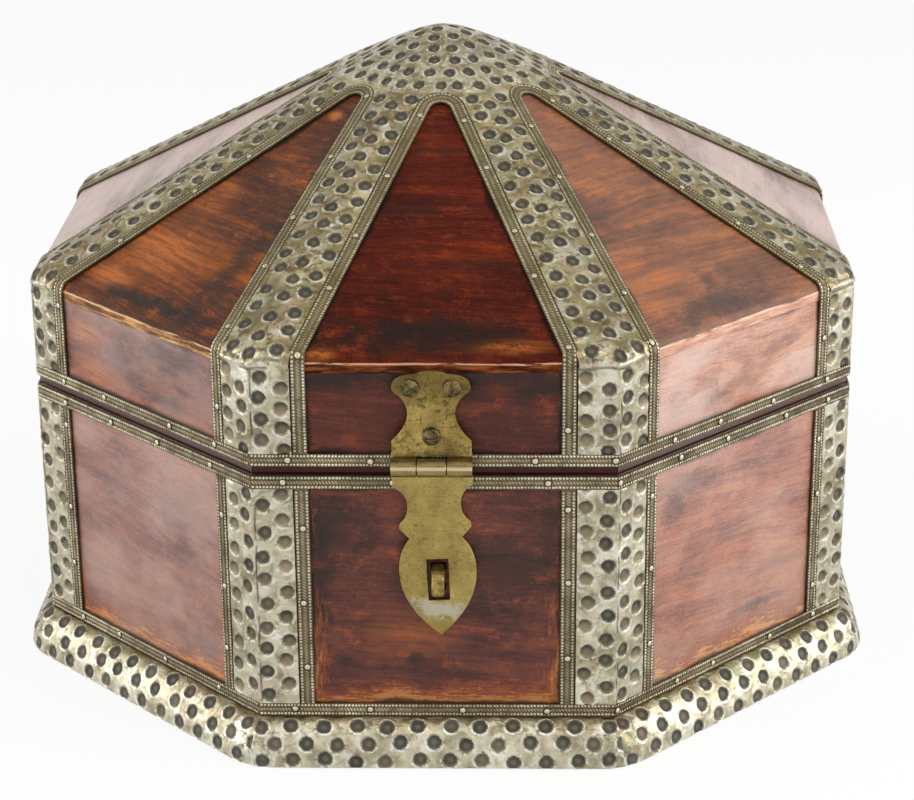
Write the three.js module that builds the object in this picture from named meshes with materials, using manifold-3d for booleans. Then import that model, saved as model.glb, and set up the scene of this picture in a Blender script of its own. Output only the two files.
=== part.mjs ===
// An octagonal wooden jewelry box with a pyramid lid, in millimetres.
// +Z is up, the front faces -Y, and the origin is at the middle of the underside.
// The box is mitred boards on a moulded plinth. Hammered sheet covers the corners, the ridges,
// the crown and the plinth, embossed strips edge every bare panel, and brass hardware closes it.

import * as THREE from 'three';
import { mergeVertices } from 'three/addons/utils/BufferGeometryUtils.js';
import Module from 'manifold-3d';

const wasm = await Module();
wasm.setup();

// Clearances and fineness
const clearance = 0.3; // between pieces that lie on or beside each other
const halfClearance = clearance / 2;
const cutOvershoot = 1; // how far a cutting tool runs past what it cuts
const roundSides = 24; // of a round bar or screw
const curveSteps = 8; // of one curve in an outline
const samePoint = 1e-6; // points closer than this are one point

// Octagon and boards
const faceCount = 8;
const woodApothem = 137.2; // from the axis to the outer face of the boards
const boardThickness = 8;
const bottomBoardThickness = 8;
const bottomBoardLift = 2; // underside of the bottom board above the table

// Heights
const bodyTop = 98.6;
const seamGap = 0.9; // between the body's rim and the lid's rim
const lidSideHeight = 32.7;

// Roof of the lid
const eaveRise = 5.16; // from the upright boards' top to where the slope would meet their faces
const roofPitch = THREE.MathUtils.degToRad(29);
const eaveRadius = 4; // rounding of the eave
const eaveSteps = 5;
const roofBoardThickness = 8; // square to the slope
const apexGap = 1.5; // the boards' points stop this far from the axis
const crownFlattening = 5.1; // how far the rounded crown stays under the slopes' meeting point
const crownRoundness = 1.04; // radius of a round level of the crown, per unit of apothem
const crownRelief = 0.8; // extra room under the crown, where the boards are rasped round

// Hammered sheet
const sheetThickness = 0.6;
const strapWidth = 12.9; // on each side of a corner, up to the strip beside it
const ridgeStrapTopWidth = 8.6; // on each side of a ridge, at the reference distance below
const ridgeStrapTopDistance = 50; // down the slope from the apex
const cornerSoftness = 0.25; // how much a folded sheet's outer corner is rounded off
const foldHalfWidth = 1.5; // from the fold to where the sheet lies flat
const panelTopDistance = 40.6; // down the slope from the apex to the strip over a roof panel

// Embossed strips
const stripThickness = 0.8;
const stripWidth = 4.5; // beside the corners and ridges
const stripLap = 1; // an upright strip runs this far into the strip it meets
const lapThinning = 0.05; // an upright strip is this much thinner on each face
const lidRimStripBase = 2.3; // above the lid's rim
const lidRimStripHeight = 4.1;
const bodyTopStripDrop = 0.1; // under the body's rim
const bodyTopStripHeight = 4.3;
const baseStripBottom = 14.8;
const baseStripHeight = 4.2;

// Plinth
const plinthSpread = 9.8; // how far the plinth's foot stands out from the boards
const plinthSheetTop = baseStripBottom - clearance;
const plinthSheetBottom = 0.4;
const plinthShoulder = 3.4; // how far the flare first runs out
const plinthShoulderDrop = 0.6;
const plinthBelly = 9; // height at which the flare turns upright
const plinthBellyInset = 0.4;
const plinthSteps = 8;

// Brass hasp on the front
const brassThickness = 1;
const haspOffset = -0.8; // the hasp sits a little to the left of the face's middle
const haspLean = THREE.MathUtils.degToRad(2.4); // the hanging leaf leans to the right
const haspAxisRise = 3.3; // above the lid's rim
const haspBarrelRadius = 2.9;
const haspPinRadius = 1.1;
const haspBarrelLength = 25.2;
const haspMiddleKnuckle = 9;
const haspPlateHalfWidth = 12.4;
const haspNeckHalfWidth = 7.4;
const haspEarFootHalfWidth = 10.6;
const haspEarHalfWidth = 12.2;
const haspFlareTop = 8.2; // the heights on the plate are above the barrel's axis
const haspNeckHeight = 17.1;
const haspNeckBend = 4; // from the neck to the heights where its sides start to turn out
const haspEarFootHeight = 23.6;
const haspEarBend = 24.6; // where an ear's side turns in to its foot
const haspEarHeight = 25.7;
const haspLobeHeight = 30.2;
const haspCrestHeight = 31.2;
const haspCrestHalfWidth = 3.5;
const haspCrestFoot = 5; // half the width where the crest meets the ears
const leafHalfWidth = 12.5;
const leafNeckHalfWidth = 8.4;
const leafPointHalfWidth = 11.5;
const leafNotchHalfWidth = 8.25;
const leafBellyHalfWidth = 12.25;
const leafScallopStart = 7; // the distances on the leaf are below the barrel's axis
const leafNeck = 13.5;
const leafScallopEnd = 19.3;
const leafScallopBend = 2; // from each end of the scallop to the height where it turns upright
const leafScallopPointHalfWidth = 11.1;
const leafPoint = 20.9;
const leafNotch = 24.7;
const leafBelly = 36;
const leafShoulderBend = 7; // from the belly up to where its edge starts to turn in
const leafTipBend = 12.2; // from the belly down to where its edge starts to turn in
const leafTip = 58.3;
const slotTop = 31.9;
const slotBottom = 46.2;
const slotWidth = 6.8;

// Staple that the slot passes over
const stapleDrop = 39; // middle of the loop below the barrel's axis
const stapleThickness = 2;
const stapleWidth = 4.2;
const stapleEyeRadius = 2.6;
const stapleReach = 4.2; // from the board to the centre of the loop's round front
const stapleClinch = 4; // length of each leg bent over inside

// Slotted screws of the hasp
const screwHeadRadius = 2.8;
const screwHeadRim = 0.35;
const screwHeadDome = 0.85;
const screwShankRadius = 1.3;
const screwDepth = 6; // into the board
const screwSlotWidth = 0.8;
const screwSlotDepth = 0.6;
const upperScrewSpread = 6.5; // of the two upper screws, from the plate's middle
const lowerScrewHeight = 9.7; // above the barrel's axis
const slotTurns = { upperLeft: 29, upperRight: 86, lower: 9 }; // of the screws' slots, in degrees

// Two butt hinges on the back
const hingeSpread = 32; // from the middle of the back to each hinge
const hingeBarrelRadius = 2.4;
const hingePinRadius = 0.9;
const hingeBarrelLength = 19.6;
const hingeMiddleKnuckle = 6.8;
const hingeLeafLength = 14; // beyond the barrel

// Colours
const woodColour = 0x5f2a1a;
const innerWoodColour = 0x7a4a2c;
const sheetColour = 0xb9b49c;
const stripColour = 0xa89f78;
const brassColour = 0x9a8a4a;
const steelColour = 0x8a8578;

const halfCorner = Math.PI / faceCount;
const cornerTan = Math.tan(halfCorner);
const cornerCos = Math.cos(halfCorner);
const pitchTan = Math.tan(roofPitch);
const pitchCos = Math.cos(roofPitch);
const pitchSin = Math.sin(roofPitch);

const innerApothem = woodApothem - boardThickness;
const sheetInner = clearance; // distances outwards from the wooden faces
const sheetOuter = clearance + sheetThickness;
const stripOuter = clearance + stripThickness;
const brassInner = stripOuter + clearance;
const lidBottom = bodyTop + seamGap;
const lidSideTop = lidBottom + lidSideHeight;
const haspAxisHeight = lidBottom + haspAxisRise;
const roofSeat = lidSideTop + clearance;
const woodApex = lidSideTop + eaveRise + woodApothem * pitchTan;
const wallFoot = bottomBoardLift + bottomBoardThickness + clearance;

// Closed meshes

// A closed mesh from points and triangles, turned so that its faces point outwards.
function closedGeometry(points, triangles) {
  let volume = 0;
  for (const [a, b, c] of triangles) {
    volume += points[a].dot(new THREE.Vector3().crossVectors(points[b], points[c]));
  }
  const turned = triangles.map(([a, b, c]) => (volume < 0 ? [a, c, b] : [a, b, c]));
  const geometry = new THREE.BufferGeometry();
  const coordinates = points.flatMap((point) => point.toArray());
  geometry.setAttribute('position', new THREE.Float32BufferAttribute(coordinates, 3));
  geometry.setIndex(turned.flat());
  geometry.computeVertexNormals();
  return geometry;
}

const quad = (a, b, c, d) => [[a, b, c], [a, c, d]];

// A point of the octagon on the front face: across it, at an apothem, at a height.
const onFace = (across, apothem, z) => new THREE.Vector3(across, -apothem, z);

// The front face and its right-hand neighbour mirror each other in their common corner.
function mirrorInCorner(point) {
  const cos = Math.cos(2 * halfCorner);
  const sin = Math.sin(2 * halfCorner);
  const across = -point.x;
  return new THREE.Vector3(across * cos - point.y * sin, across * sin + point.y * cos, point.z);
}

// A mitred board on the front face, from its closed profile of [apothem, z] points.
function boardGeometry(profile) {
  const points = [];
  for (const side of [-1, 1]) {
    for (const [apothem, z] of profile) {
      points.push(onFace(side * (apothem * cornerTan - halfClearance / cornerCos), apothem, z));
    }
  }
  const count = profile.length;
  const outline = profile.map(([apothem, z]) => new THREE.Vector2(apothem, z));
  const ends = THREE.ShapeUtils.triangulateShape(outline, []);
  const triangles = [];
  for (const [a, b, c] of ends) {
    triangles.push([a, b, c], [a + count, c + count, b + count]);
  }
  const clockwise = THREE.ShapeUtils.isClockWise(outline);
  for (let i = 0; i < count; i++) {
    const next = (i + 1) % count;
    const wall = quad(i, i + count, next + count, next);
    triangles.push(...wall.map(([a, b, c]) => (clockwise ? [a, c, b] : [a, b, c])));
  }
  return closedGeometry(points, triangles);
}

// An octagonal ring, from its closed profile of [apothem, z] points.
function ringGeometry(profile) {
  const points = [];
  const triangles = [];
  const count = profile.length;
  for (let k = 0; k < faceCount; k++) {
    const angle = (2 * k + 1) * halfCorner;
    for (const [apothem, z] of profile) {
      const radius = apothem / cornerCos;
      points.push(new THREE.Vector3(radius * Math.cos(angle), radius * Math.sin(angle), z));
    }
    for (let i = 0; i < count; i++) {
      const here = k * count;
      const there = ((k + 1) % faceCount) * count;
      const next = (i + 1) % count;
      triangles.push(...quad(here + i, here + next, there + next, there + i));
    }
  }
  return closedGeometry(points, triangles);
}

// A bent sheet between an outer and an inner grid of points, each a list of rows.
function sheetGeometry(outer, inner) {
  const rows = outer.length;
  const columns = outer[0].length;
  const points = [...outer.flat(), ...inner.flat()];
  const top = (row, column) => row * columns + column;
  const under = (row, column) => rows * columns + row * columns + column;
  const triangles = [];
  for (let row = 0; row + 1 < rows; row++) {
    for (let column = 0; column + 1 < columns; column++) {
      const corners = [[row, column], [row, column + 1], [row + 1, column + 1], [row + 1, column]];
      triangles.push(...quad(...corners.map(([r, c]) => top(r, c))));
      triangles.push(...quad(...corners.reverse().map(([r, c]) => under(r, c))));
    }
  }
  const rim = [];
  for (let column = 0; column + 1 < columns; column++) rim.push([0, column]);
  for (let row = 0; row + 1 < rows; row++) rim.push([row, columns - 1]);
  for (let column = columns - 1; column > 0; column--) rim.push([rows - 1, column]);
  for (let row = rows - 1; row > 0; row--) rim.push([row, 0]);
  rim.forEach(([row, column], i) => {
    const [nextRow, nextColumn] = rim[(i + 1) % rim.length];
    triangles.push(
      ...quad(top(row, column), under(row, column), under(nextRow, nextColumn), top(nextRow, nextColumn)),
    );
  });
  return closedGeometry(points, triangles);
}

// Joins and cuts

function toSolid(geometry) {
  const plain = geometry.clone();
  plain.deleteAttribute('normal');
  plain.deleteAttribute('uv');
  const merged = mergeVertices(plain);
  return new wasm.Manifold(
    new wasm.Mesh({
      numProp: 3,
      vertProperties: new Float32Array(merged.attributes.position.array),
      triVerts: new Uint32Array(merged.index.array),
    }),
  );
}

function toGeometry(solid) {
  const mesh = solid.getMesh();
  const geometry = new THREE.BufferGeometry();
  geometry.setAttribute('position', new THREE.BufferAttribute(mesh.vertProperties, 3));
  geometry.setIndex(new THREE.BufferAttribute(mesh.triVerts, 1));
  geometry.computeVertexNormals();
  return geometry;
}

function extruded(shape, depth) {
  return new THREE.ExtrudeGeometry(shape, { depth, bevelEnabled: false, curveSegments: curveSteps });
}

const joined = (solids) => solids.reduce((sum, solid) => sum.add(solid));
const cut = (solid, tools) => tools.reduce((rest, tool) => rest.subtract(tool), solid);

function boxSolid(low, high) {
  const size = high.map((value, axis) => value - low[axis]);
  const middle = high.map((value, axis) => (value + low[axis]) / 2);
  return toSolid(new THREE.BoxGeometry(...size).translate(...middle));
}

// A round bar along X, centred on the origin.
function barSolid(radius, length) {
  return toSolid(new THREE.CylinderGeometry(radius, radius, length, roundSides).rotateZ(Math.PI / 2));
}

// Skin of the lid

const arcCentreApothem = woodApothem - eaveRadius;
const slopeEnd = (arcCentreApothem + eaveRadius * pitchSin) / pitchCos;
const arcCentreHeight = woodApex - slopeEnd * pitchSin - eaveRadius * pitchCos;
const arcAngle = Math.PI / 2 - roofPitch;
const eaveEnd = slopeEnd + eaveRadius * arcAngle;

// A point on the lid's front face, as [apothem, z]. The distance runs from the apex down the
// slope, round the eave and down the upright side, and the lift is square to the wood.
function lidSection(distance, lift) {
  if (distance <= slopeEnd) {
    return [
      distance * pitchCos + lift * pitchSin,
      woodApex - distance * pitchSin + lift * pitchCos,
    ];
  }
  const turn = Math.max(0, arcAngle - (distance - slopeEnd) / eaveRadius);
  return [
    arcCentreApothem + (eaveRadius + lift) * Math.cos(turn),
    arcCentreHeight + (eaveRadius + lift) * Math.sin(turn) - Math.max(0, distance - eaveEnd),
  ];
}

function lidPoint(across, distance, lift) {
  const [apothem, z] = lidSection(distance, lift);
  return onFace(across, apothem, z);
}

const distanceAtHeight = (z) => eaveEnd + arcCentreHeight - z;

// Outline of a roof panel inside its strip, or outside it with no inset: two straight sides
// that follow the ridge straps, joined by a round top.
const cornerHalfWidth = woodApothem * cornerTan;
const uprightPanelHalfWidth = cornerHalfWidth - strapWidth;
const ridgeTan = cornerTan * pitchCos;
const ridgeSecant = Math.hypot(1, ridgeTan);
const topHalfWidth = ridgeTan * ridgeStrapTopDistance - ridgeStrapTopWidth * ridgeSecant;
const sideSlope = (uprightPanelHalfWidth - topHalfWidth) / (slopeEnd - ridgeStrapTopDistance);
const sideStart = topHalfWidth - sideSlope * ridgeStrapTopDistance;
const sideSecant = Math.hypot(1, sideSlope);
const panelTopRadius = (sideSlope * panelTopDistance + sideStart) / (sideSecant - sideSlope);
const panelTopCentre = panelTopDistance + panelTopRadius;
const tangentAngle = Math.acos(sideSlope / sideSecant);
const topSteps = 7;

const panelSide = (distance, inset) => sideSlope * distance + sideStart - inset * sideSecant;

function panelTop(angle, inset) {
  const radius = panelTopRadius - inset;
  return [radius * Math.sin(angle), panelTopCentre - radius * Math.cos(angle)];
}

// Edge points of one side of the outline, as [across, distance], from the top to a lowest one.
const eaveMiddle = (slopeEnd + eaveEnd) / 2;

function panelEdge(inset, lowest) {
  const edge = [];
  for (let step = 0; step <= topSteps; step++) {
    edge.push(panelTop((tangentAngle * step) / topSteps, inset));
  }
  edge.push([panelSide(slopeEnd, inset), slopeEnd]);
  for (const distance of [eaveMiddle, eaveEnd, lowest]) {
    edge.push([uprightPanelHalfWidth - inset, distance]);
  }
  return edge;
}

// Pieces of the body

function bottomBoard() {
  const low = bottomBoardLift;
  const high = bottomBoardLift + bottomBoardThickness;
  const radius = woodApothem / cornerCos;
  const board = new THREE.CylinderGeometry(radius, radius, high - low, faceCount);
  return board.rotateX(Math.PI / 2).rotateZ(halfCorner).translate(0, 0, (low + high) / 2);
}

const wallProfile = [
  [innerApothem, wallFoot],
  [woodApothem, wallFoot],
  [woodApothem, bodyTop],
  [innerApothem, bodyTop],
];

const wallBoard = () => boardGeometry(wallProfile);

const stapleHeight = haspAxisHeight - stapleDrop * Math.cos(haspLean);
const stapleAcross = haspOffset + stapleDrop * Math.sin(haspLean);
const stapleOuterRadius = stapleEyeRadius + stapleThickness;

// The front wall has a slot for each leg of the staple.
function frontWallBoard() {
  const halfWidth = stapleWidth / 2 + clearance;
  const slots = [-1, 1].map((side) => {
    const middle = stapleHeight + side * (stapleEyeRadius + stapleThickness / 2);
    const halfHeight = stapleThickness / 2 + clearance;
    return boxSolid(
      [stapleAcross - halfWidth, -woodApothem - cutOvershoot, middle - halfHeight],
      [stapleAcross + halfWidth, -innerApothem + cutOvershoot, middle + halfHeight],
    );
  });
  return toGeometry(cut(toSolid(wallBoard()), slots));
}

// The plinth's flare as a curve of (apothem, z), outside the sheet.
const plinthCurve = new THREE.CubicBezierCurve(
  new THREE.Vector2(woodApothem + sheetOuter, plinthSheetTop),
  new THREE.Vector2(woodApothem + sheetOuter + plinthShoulder, plinthSheetTop - plinthShoulderDrop),
  new THREE.Vector2(woodApothem + plinthSpread - plinthBellyInset, plinthBelly),
  new THREE.Vector2(woodApothem + plinthSpread, plinthSheetBottom),
);

// The same curve drawn inwards by a depth, from the top down.
function plinthLine(depth) {
  const line = [];
  for (let step = 0; step <= plinthSteps; step++) {
    const point = plinthCurve.getPoint(step / plinthSteps);
    const along = plinthCurve.getTangent(step / plinthSteps);
    line.push([point.x + along.y * depth, point.y - along.x * depth]);
  }
  return line;
}

function plinthMoulding() {
  const inner = woodApothem + clearance;
  const face = plinthLine(sheetOuter).filter(([apothem]) => apothem > inner + clearance);
  const [footApothem] = face[face.length - 1];
  const top = face[0][1];
  return ringGeometry([[inner, top], ...face.slice(0, -1), [footApothem, 0], [inner, 0]]);
}

function plinthSheet() {
  return ringGeometry([...plinthLine(0), ...plinthLine(sheetThickness).reverse()]);
}

// A sheet folded over a corner: each row gives the wing's end, and a point of the wood's section.
function foldedSheet(rows, pointAt, cornerAt) {
  const grid = (lift, softness) =>
    rows.map((row) => {
      const fold = cornerAt(row, lift - softness);
      const nearFold = pointAt(cornerAt(row, lift).x - foldHalfWidth, row, lift);
      const end = pointAt(row.wingEnd, row, lift);
      return [end, nearFold, fold, mirrorInCorner(nearFold), mirrorInCorner(end)];
    });
  return sheetGeometry(grid(sheetOuter, cornerSoftness), grid(sheetInner, 0));
}

const baseStripTop = baseStripBottom + baseStripHeight;
const bodyTopStripTop = bodyTop - bodyTopStripDrop;
const bodyTopStripBottom = bodyTopStripTop - bodyTopStripHeight;

function bodyCornerStrap() {
  const wingEnd = uprightPanelHalfWidth + clearance;
  const rows = [baseStripTop + clearance, bodyTopStripBottom - clearance].map((z) => ({ wingEnd, z }));
  return foldedSheet(
    rows,
    (across, row, lift) => onFace(across, woodApothem + lift, row.z),
    (row, lift) => onFace((woodApothem + lift) * cornerTan, woodApothem + lift, row.z),
  );
}

function stripRing(bottom, top) {
  const inner = woodApothem + clearance;
  const outer = woodApothem + stripOuter;
  return toSolid(ringGeometry([[inner, bottom], [outer, bottom], [outer, top], [inner, top]]));
}

const faceTurns = [...Array(faceCount).keys()].map((k) => THREE.MathUtils.radToDeg(2 * halfCorner * k));
const aroundFaces = (solid) => faceTurns.map((turn) => solid.rotate([0, 0, turn]));

// The strips round the body's rim and foot, and an upright strip on each side of every panel.
function bodyStrips() {
  const inner = woodApothem + clearance + lapThinning;
  const outer = woodApothem + stripOuter - lapThinning;
  const uprights = [-1, 1].flatMap((side) => {
    const edges = [side * uprightPanelHalfWidth, side * (uprightPanelHalfWidth - stripWidth)];
    return aroundFaces(
      boxSolid(
        [Math.min(...edges), -outer, baseStripTop - stripLap],
        [Math.max(...edges), -inner, bodyTopStripBottom + stripLap],
      ),
    );
  });
  const rings = [
    stripRing(baseStripBottom, baseStripTop),
    stripRing(bodyTopStripBottom, bodyTopStripTop),
  ];
  return toGeometry(joined([...rings, ...uprights]));
}

// Staple: a strip bent into a loop, with its legs through the front wall and bent over inside.
function staple() {
  const back = -boardThickness - clearance;
  const heel = back - stapleThickness;
  const clinch = stapleOuterRadius + stapleClinch;
  const shape = new THREE.Shape();
  shape.moveTo(back, clinch);
  shape.lineTo(heel, clinch);
  shape.lineTo(heel, stapleEyeRadius);
  shape.lineTo(stapleReach, stapleEyeRadius);
  shape.absarc(stapleReach, 0, stapleEyeRadius, Math.PI / 2, -Math.PI / 2, true);
  shape.lineTo(heel, -stapleEyeRadius);
  shape.lineTo(heel, -clinch);
  shape.lineTo(back, -clinch);
  shape.lineTo(back, -stapleOuterRadius);
  shape.lineTo(stapleReach, -stapleOuterRadius);
  shape.absarc(stapleReach, 0, stapleOuterRadius, -Math.PI / 2, Math.PI / 2, false);
  shape.lineTo(back, stapleOuterRadius);
  const bent = extruded(shape, stapleWidth);
  // The drawing's x runs outwards and its y upwards, and its depth runs across the face.
  const toFront = new THREE.Matrix4().makeBasis(
    new THREE.Vector3(0, -1, 0),
    new THREE.Vector3(0, 0, 1),
    new THREE.Vector3(-1, 0, 0),
  );
  bent.translate(0, 0, -stapleWidth / 2).applyMatrix4(toFront);
  return bent.translate(stapleAcross, -woodApothem, stapleHeight);
}

// Pieces of the lid

const lidSideProfile = [
  [innerApothem, lidBottom],
  [woodApothem, lidBottom],
  [woodApothem, lidSideTop],
  [innerApothem, lidSideTop],
];

const lidSideBoard = () => boardGeometry(lidSideProfile);

// Height that the rounded crown loses against the slopes, at an apothem.
const crownEdge = (panelTopDistance - clearance) * pitchCos;
const crownLoss = (apothem) => Math.hypot(pitchTan * apothem, crownFlattening) - pitchTan * apothem;
const crownDrop = (apothem) => crownLoss(apothem) - (crownLoss(crownEdge) * apothem) / crownEdge;

function roofBoard() {
  const arc = [...Array(eaveSteps + 1).keys()].map((step) =>
    lidSection(eaveEnd + ((slopeEnd - eaveEnd) * step) / eaveSteps, 0),
  );
  const crown = [1, 3 / 4, 1 / 2, 1 / 4, 0].map((share) => {
    const apothem = apexGap + (crownEdge - apexGap) * share;
    const drop = crownDrop(apothem) + crownRelief * (1 - share);
    return [apothem, woodApex - apothem * pitchTan - drop];
  });
  const underside = woodApex - roofBoardThickness / pitchCos;
  return boardGeometry([
    [woodApothem, roofSeat],
    ...arc,
    ...crown,
    [apexGap, underside - apexGap * pitchTan],
    [(underside - roofSeat) / pitchTan, roofSeat],
  ]);
}

const rimStripBottom = lidBottom + lidRimStripBase;
const rimStripTop = rimStripBottom + lidRimStripHeight;

function ridgeStrap() {
  const lowest = distanceAtHeight(rimStripTop + clearance);
  const rows = panelEdge(0, lowest).map(([across, distance]) => ({
    wingEnd: Math.max(across, 0) + clearance,
    distance,
  }));
  return foldedSheet(
    rows,
    (across, row, lift) => lidPoint(across, row.distance, lift),
    (row, lift) => {
      const [apothem, z] = lidSection(row.distance, lift);
      return onFace(apothem * cornerTan, apothem, z);
    },
  );
}

// The strip round the lid's rim, and one strip round every panel, over the eave and the top.
function lidStrips() {
  const lowest = distanceAtHeight(rimStripTop - stripLap);
  const outerEdge = panelEdge(0, lowest);
  const innerEdge = panelEdge(stripWidth, lowest);
  const right = outerEdge.map((point, i) => [point, innerEdge[i]]).reverse();
  const left = outerEdge.slice(1).map((point, i) => [
    [-point[0], point[1]],
    [-innerEdge[i + 1][0], innerEdge[i + 1][1]],
  ]);
  const grid = (lift) =>
    [...right, ...left].map((pair) => pair.map(([across, distance]) => lidPoint(across, distance, lift)));
  const panelStrip = toSolid(sheetGeometry(grid(stripOuter - lapThinning), grid(clearance + lapThinning)));
  return toGeometry(joined([stripRing(rimStripBottom, rimStripTop), ...aroundFaces(panelStrip)]));
}

// Crown: a sheet dished from an octagon at its edge to a round top.
function crownSheet() {
  const perFace = 4;
  const columns = faceCount * perFace;
  const levels = 8;
  const points = [];
  const triangles = [];
  const surface = (lift) => {
    const apex = woodApex + lift / pitchCos;
    const start = points.length;
    points.push(new THREE.Vector3(0, 0, apex - crownDrop(0)));
    for (let level = 1; level <= levels; level++) {
      const apothem = (crownEdge * level) / levels;
      const squareness = THREE.MathUtils.smoothstep(apothem, 0, crownEdge);
      for (let column = 0; column < columns; column++) {
        const angle = (2 * halfCorner * column) / perFace;
        const fromFace = ((column % perFace) / perFace) * 2 * halfCorner;
        const local = fromFace > halfCorner ? 2 * halfCorner - fromFace : fromFace;
        const radius = apothem * THREE.MathUtils.lerp(crownRoundness, 1 / Math.cos(local), squareness);
        const z = apex - apothem * pitchTan - crownDrop(apothem);
        points.push(new THREE.Vector3(radius * Math.cos(angle), radius * Math.sin(angle), z));
      }
    }
    return start;
  };
  const outer = surface(sheetOuter);
  const inner = surface(sheetInner);
  const at = (start, level, column) => start + 1 + (level - 1) * columns + (column % columns);
  for (let column = 0; column < columns; column++) {
    triangles.push([outer, at(outer, 1, column), at(outer, 1, column + 1)]);
    triangles.push([inner, at(inner, 1, column + 1), at(inner, 1, column)]);
    for (let level = 1; level < levels; level++) {
      const corners = [[level, column], [level + 1, column], [level + 1, column + 1], [level, column + 1]];
      triangles.push(...quad(...corners.map(([l, c]) => at(outer, l, c))));
      triangles.push(...quad(...corners.reverse().map(([l, c]) => at(inner, l, c))));
    }
    triangles.push(
      ...quad(
        at(outer, levels, column),
        at(inner, levels, column),
        at(inner, levels, column + 1),
        at(outer, levels, column + 1),
      ),
    );
  }
  return closedGeometry(points, triangles);
}

// Hinge leaves

// Every leaf is drawn with its barrel's axis on X through the origin, its plate hanging in -Z
// and its back towards +Y.
function flatPlate(shape, barrelRadius) {
  const plate = extruded(shape, brassThickness);
  return toSolid(plate.rotateX(Math.PI / 2).translate(0, barrelRadius, 0));
}

// A plate joined to its knuckles, each given as [from, to] along a barrel's axis.
function rolledLeaf(plate, knuckles, barrel) {
  const front = barrel.radius - brassThickness;
  const parts = [plate];
  for (const [from, to] of knuckles) {
    const knuckle = barSolid(barrel.radius, to - from).translate([(from + to) / 2, 0, 0]);
    const tongue = boxSolid([from, front, -barrel.shoulder - brassThickness], [to, barrel.radius, 0]);
    parts.push(knuckle, tongue);
  }
  return cut(joined(parts), [barSolid(barrel.pinRadius + clearance, barrel.length + cutOvershoot)]);
}

// Knuckles of a barrel centred on the origin: the middle one, and the two beside it.
function knucklesOf(barrelLength, middleLength) {
  const half = barrelLength / 2;
  const inner = middleLength / 2;
  return {
    middle: [[-inner, inner]],
    outer: [[-half, -inner - clearance], [inner + clearance, half]],
  };
}

const haspKnuckles = knucklesOf(haspBarrelLength, haspMiddleKnuckle);
const haspShoulder = haspBarrelRadius + clearance;
const haspBarrel = {
  radius: haspBarrelRadius,
  pinRadius: haspPinRadius,
  length: haspBarrelLength,
  shoulder: haspShoulder,
};
const haspPlace = [haspOffset, -woodApothem - brassInner - haspBarrelRadius, haspAxisHeight];

// A symmetric outline, from its right half as drawn by a function down to the middle line.
function mirroredShape(rightHalf) {
  const right = new THREE.Path();
  rightHalf(right);
  const points = right.getPoints(curveSteps);
  const left = points.map((point) => new THREE.Vector2(-point.x, point.y)).reverse();
  const outline = [...points, ...left].filter((point, i, all) => {
    const before = all[(i + all.length - 1) % all.length];
    return point.distanceTo(before) > samePoint;
  });
  return new THREE.Shape(outline);
}

// Screws of the hasp, from the middle of its barrel.
const upperLeftScrew = { across: -upperScrewSpread, height: haspEarHeight, slotTurn: slotTurns.upperLeft };
const upperRightScrew = { across: upperScrewSpread, height: haspEarHeight, slotTurn: slotTurns.upperRight };
const lowerScrew = { across: 0, height: lowerScrewHeight, slotTurn: slotTurns.lower };

const screwPlace = ({ across, height }) => [haspOffset + across, -woodApothem, haspAxisHeight + height];

// Holes for the screws, through the plate and a little deeper than the screws into the board.
const screwHoles = [upperLeftScrew, upperRightScrew, lowerScrew].map((screw) => {
  const radius = screwShankRadius + clearance;
  const length = 2 * (screwDepth + clearance);
  const hole = toSolid(new THREE.CylinderGeometry(radius, radius, length, roundSides));
  return hole.translate(screwPlace(screw));
});

// Fixed plate of the hasp: flared over the barrel, waisted, with two ears and a crest. It is
// drawn hanging and mirrored upwards.
function haspPlate() {
  const shape = mirroredShape((path) => {
    path.moveTo(0, -haspCrestHeight);
    path.quadraticCurveTo(haspCrestHalfWidth, -haspCrestHeight, haspCrestFoot, -haspLobeHeight);
    path.quadraticCurveTo(haspEarHalfWidth, -haspLobeHeight, haspEarHalfWidth, -haspEarHeight);
    path.quadraticCurveTo(haspEarHalfWidth, -haspEarBend, haspEarFootHalfWidth, -haspEarFootHeight);
    path.quadraticCurveTo(
      haspNeckHalfWidth, -haspNeckHeight - haspNeckBend,
      haspNeckHalfWidth, -haspNeckHeight,
    );
    path.quadraticCurveTo(
      haspNeckHalfWidth, -haspNeckHeight + haspNeckBend,
      haspPlateHalfWidth, -haspFlareTop,
    );
    path.lineTo(haspPlateHalfWidth, -haspShoulder);
    path.lineTo(0, -haspShoulder);
  });
  const hanging = rolledLeaf(flatPlate(shape, haspBarrelRadius), haspKnuckles.outer, haspBarrel);
  return toGeometry(cut(hanging.mirror([0, 0, 1]).translate(haspPlace), screwHoles));
}

const frontLidSideBoard = () => toGeometry(cut(toSolid(lidSideBoard()), screwHoles));

// A slotted screw with a domed head.
function haspScrew(screw) {
  const seat = brassInner + brassThickness + clearance;
  const profile = [
    new THREE.Vector2(0, -screwDepth),
    new THREE.Vector2(screwShankRadius, -screwDepth + screwShankRadius),
    new THREE.Vector2(screwShankRadius, seat),
    new THREE.Vector2(screwHeadRadius, seat),
    new THREE.Vector2(screwHeadRadius, seat + screwHeadRim),
  ];
  for (const share of [0.75, 0.5, 0.25, 0]) {
    const rise = screwHeadDome * (1 - share * share);
    profile.push(new THREE.Vector2(screwHeadRadius * share, seat + screwHeadRim + rise));
  }
  const top = seat + screwHeadRim + screwHeadDome;
  const body = toSolid(new THREE.LatheGeometry(profile, roundSides));
  const slotSize = [2 * screwHeadRadius + cutOvershoot, 2 * screwSlotDepth, screwSlotWidth];
  const slot = toSolid(new THREE.BoxGeometry(...slotSize).translate(0, top, 0));
  const slotted = body.subtract(slot.rotate([0, screw.slotTurn, 0]));
  return toGeometry(slotted.rotate([0, 0, 180]).translate(screwPlace(screw)));
}

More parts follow.
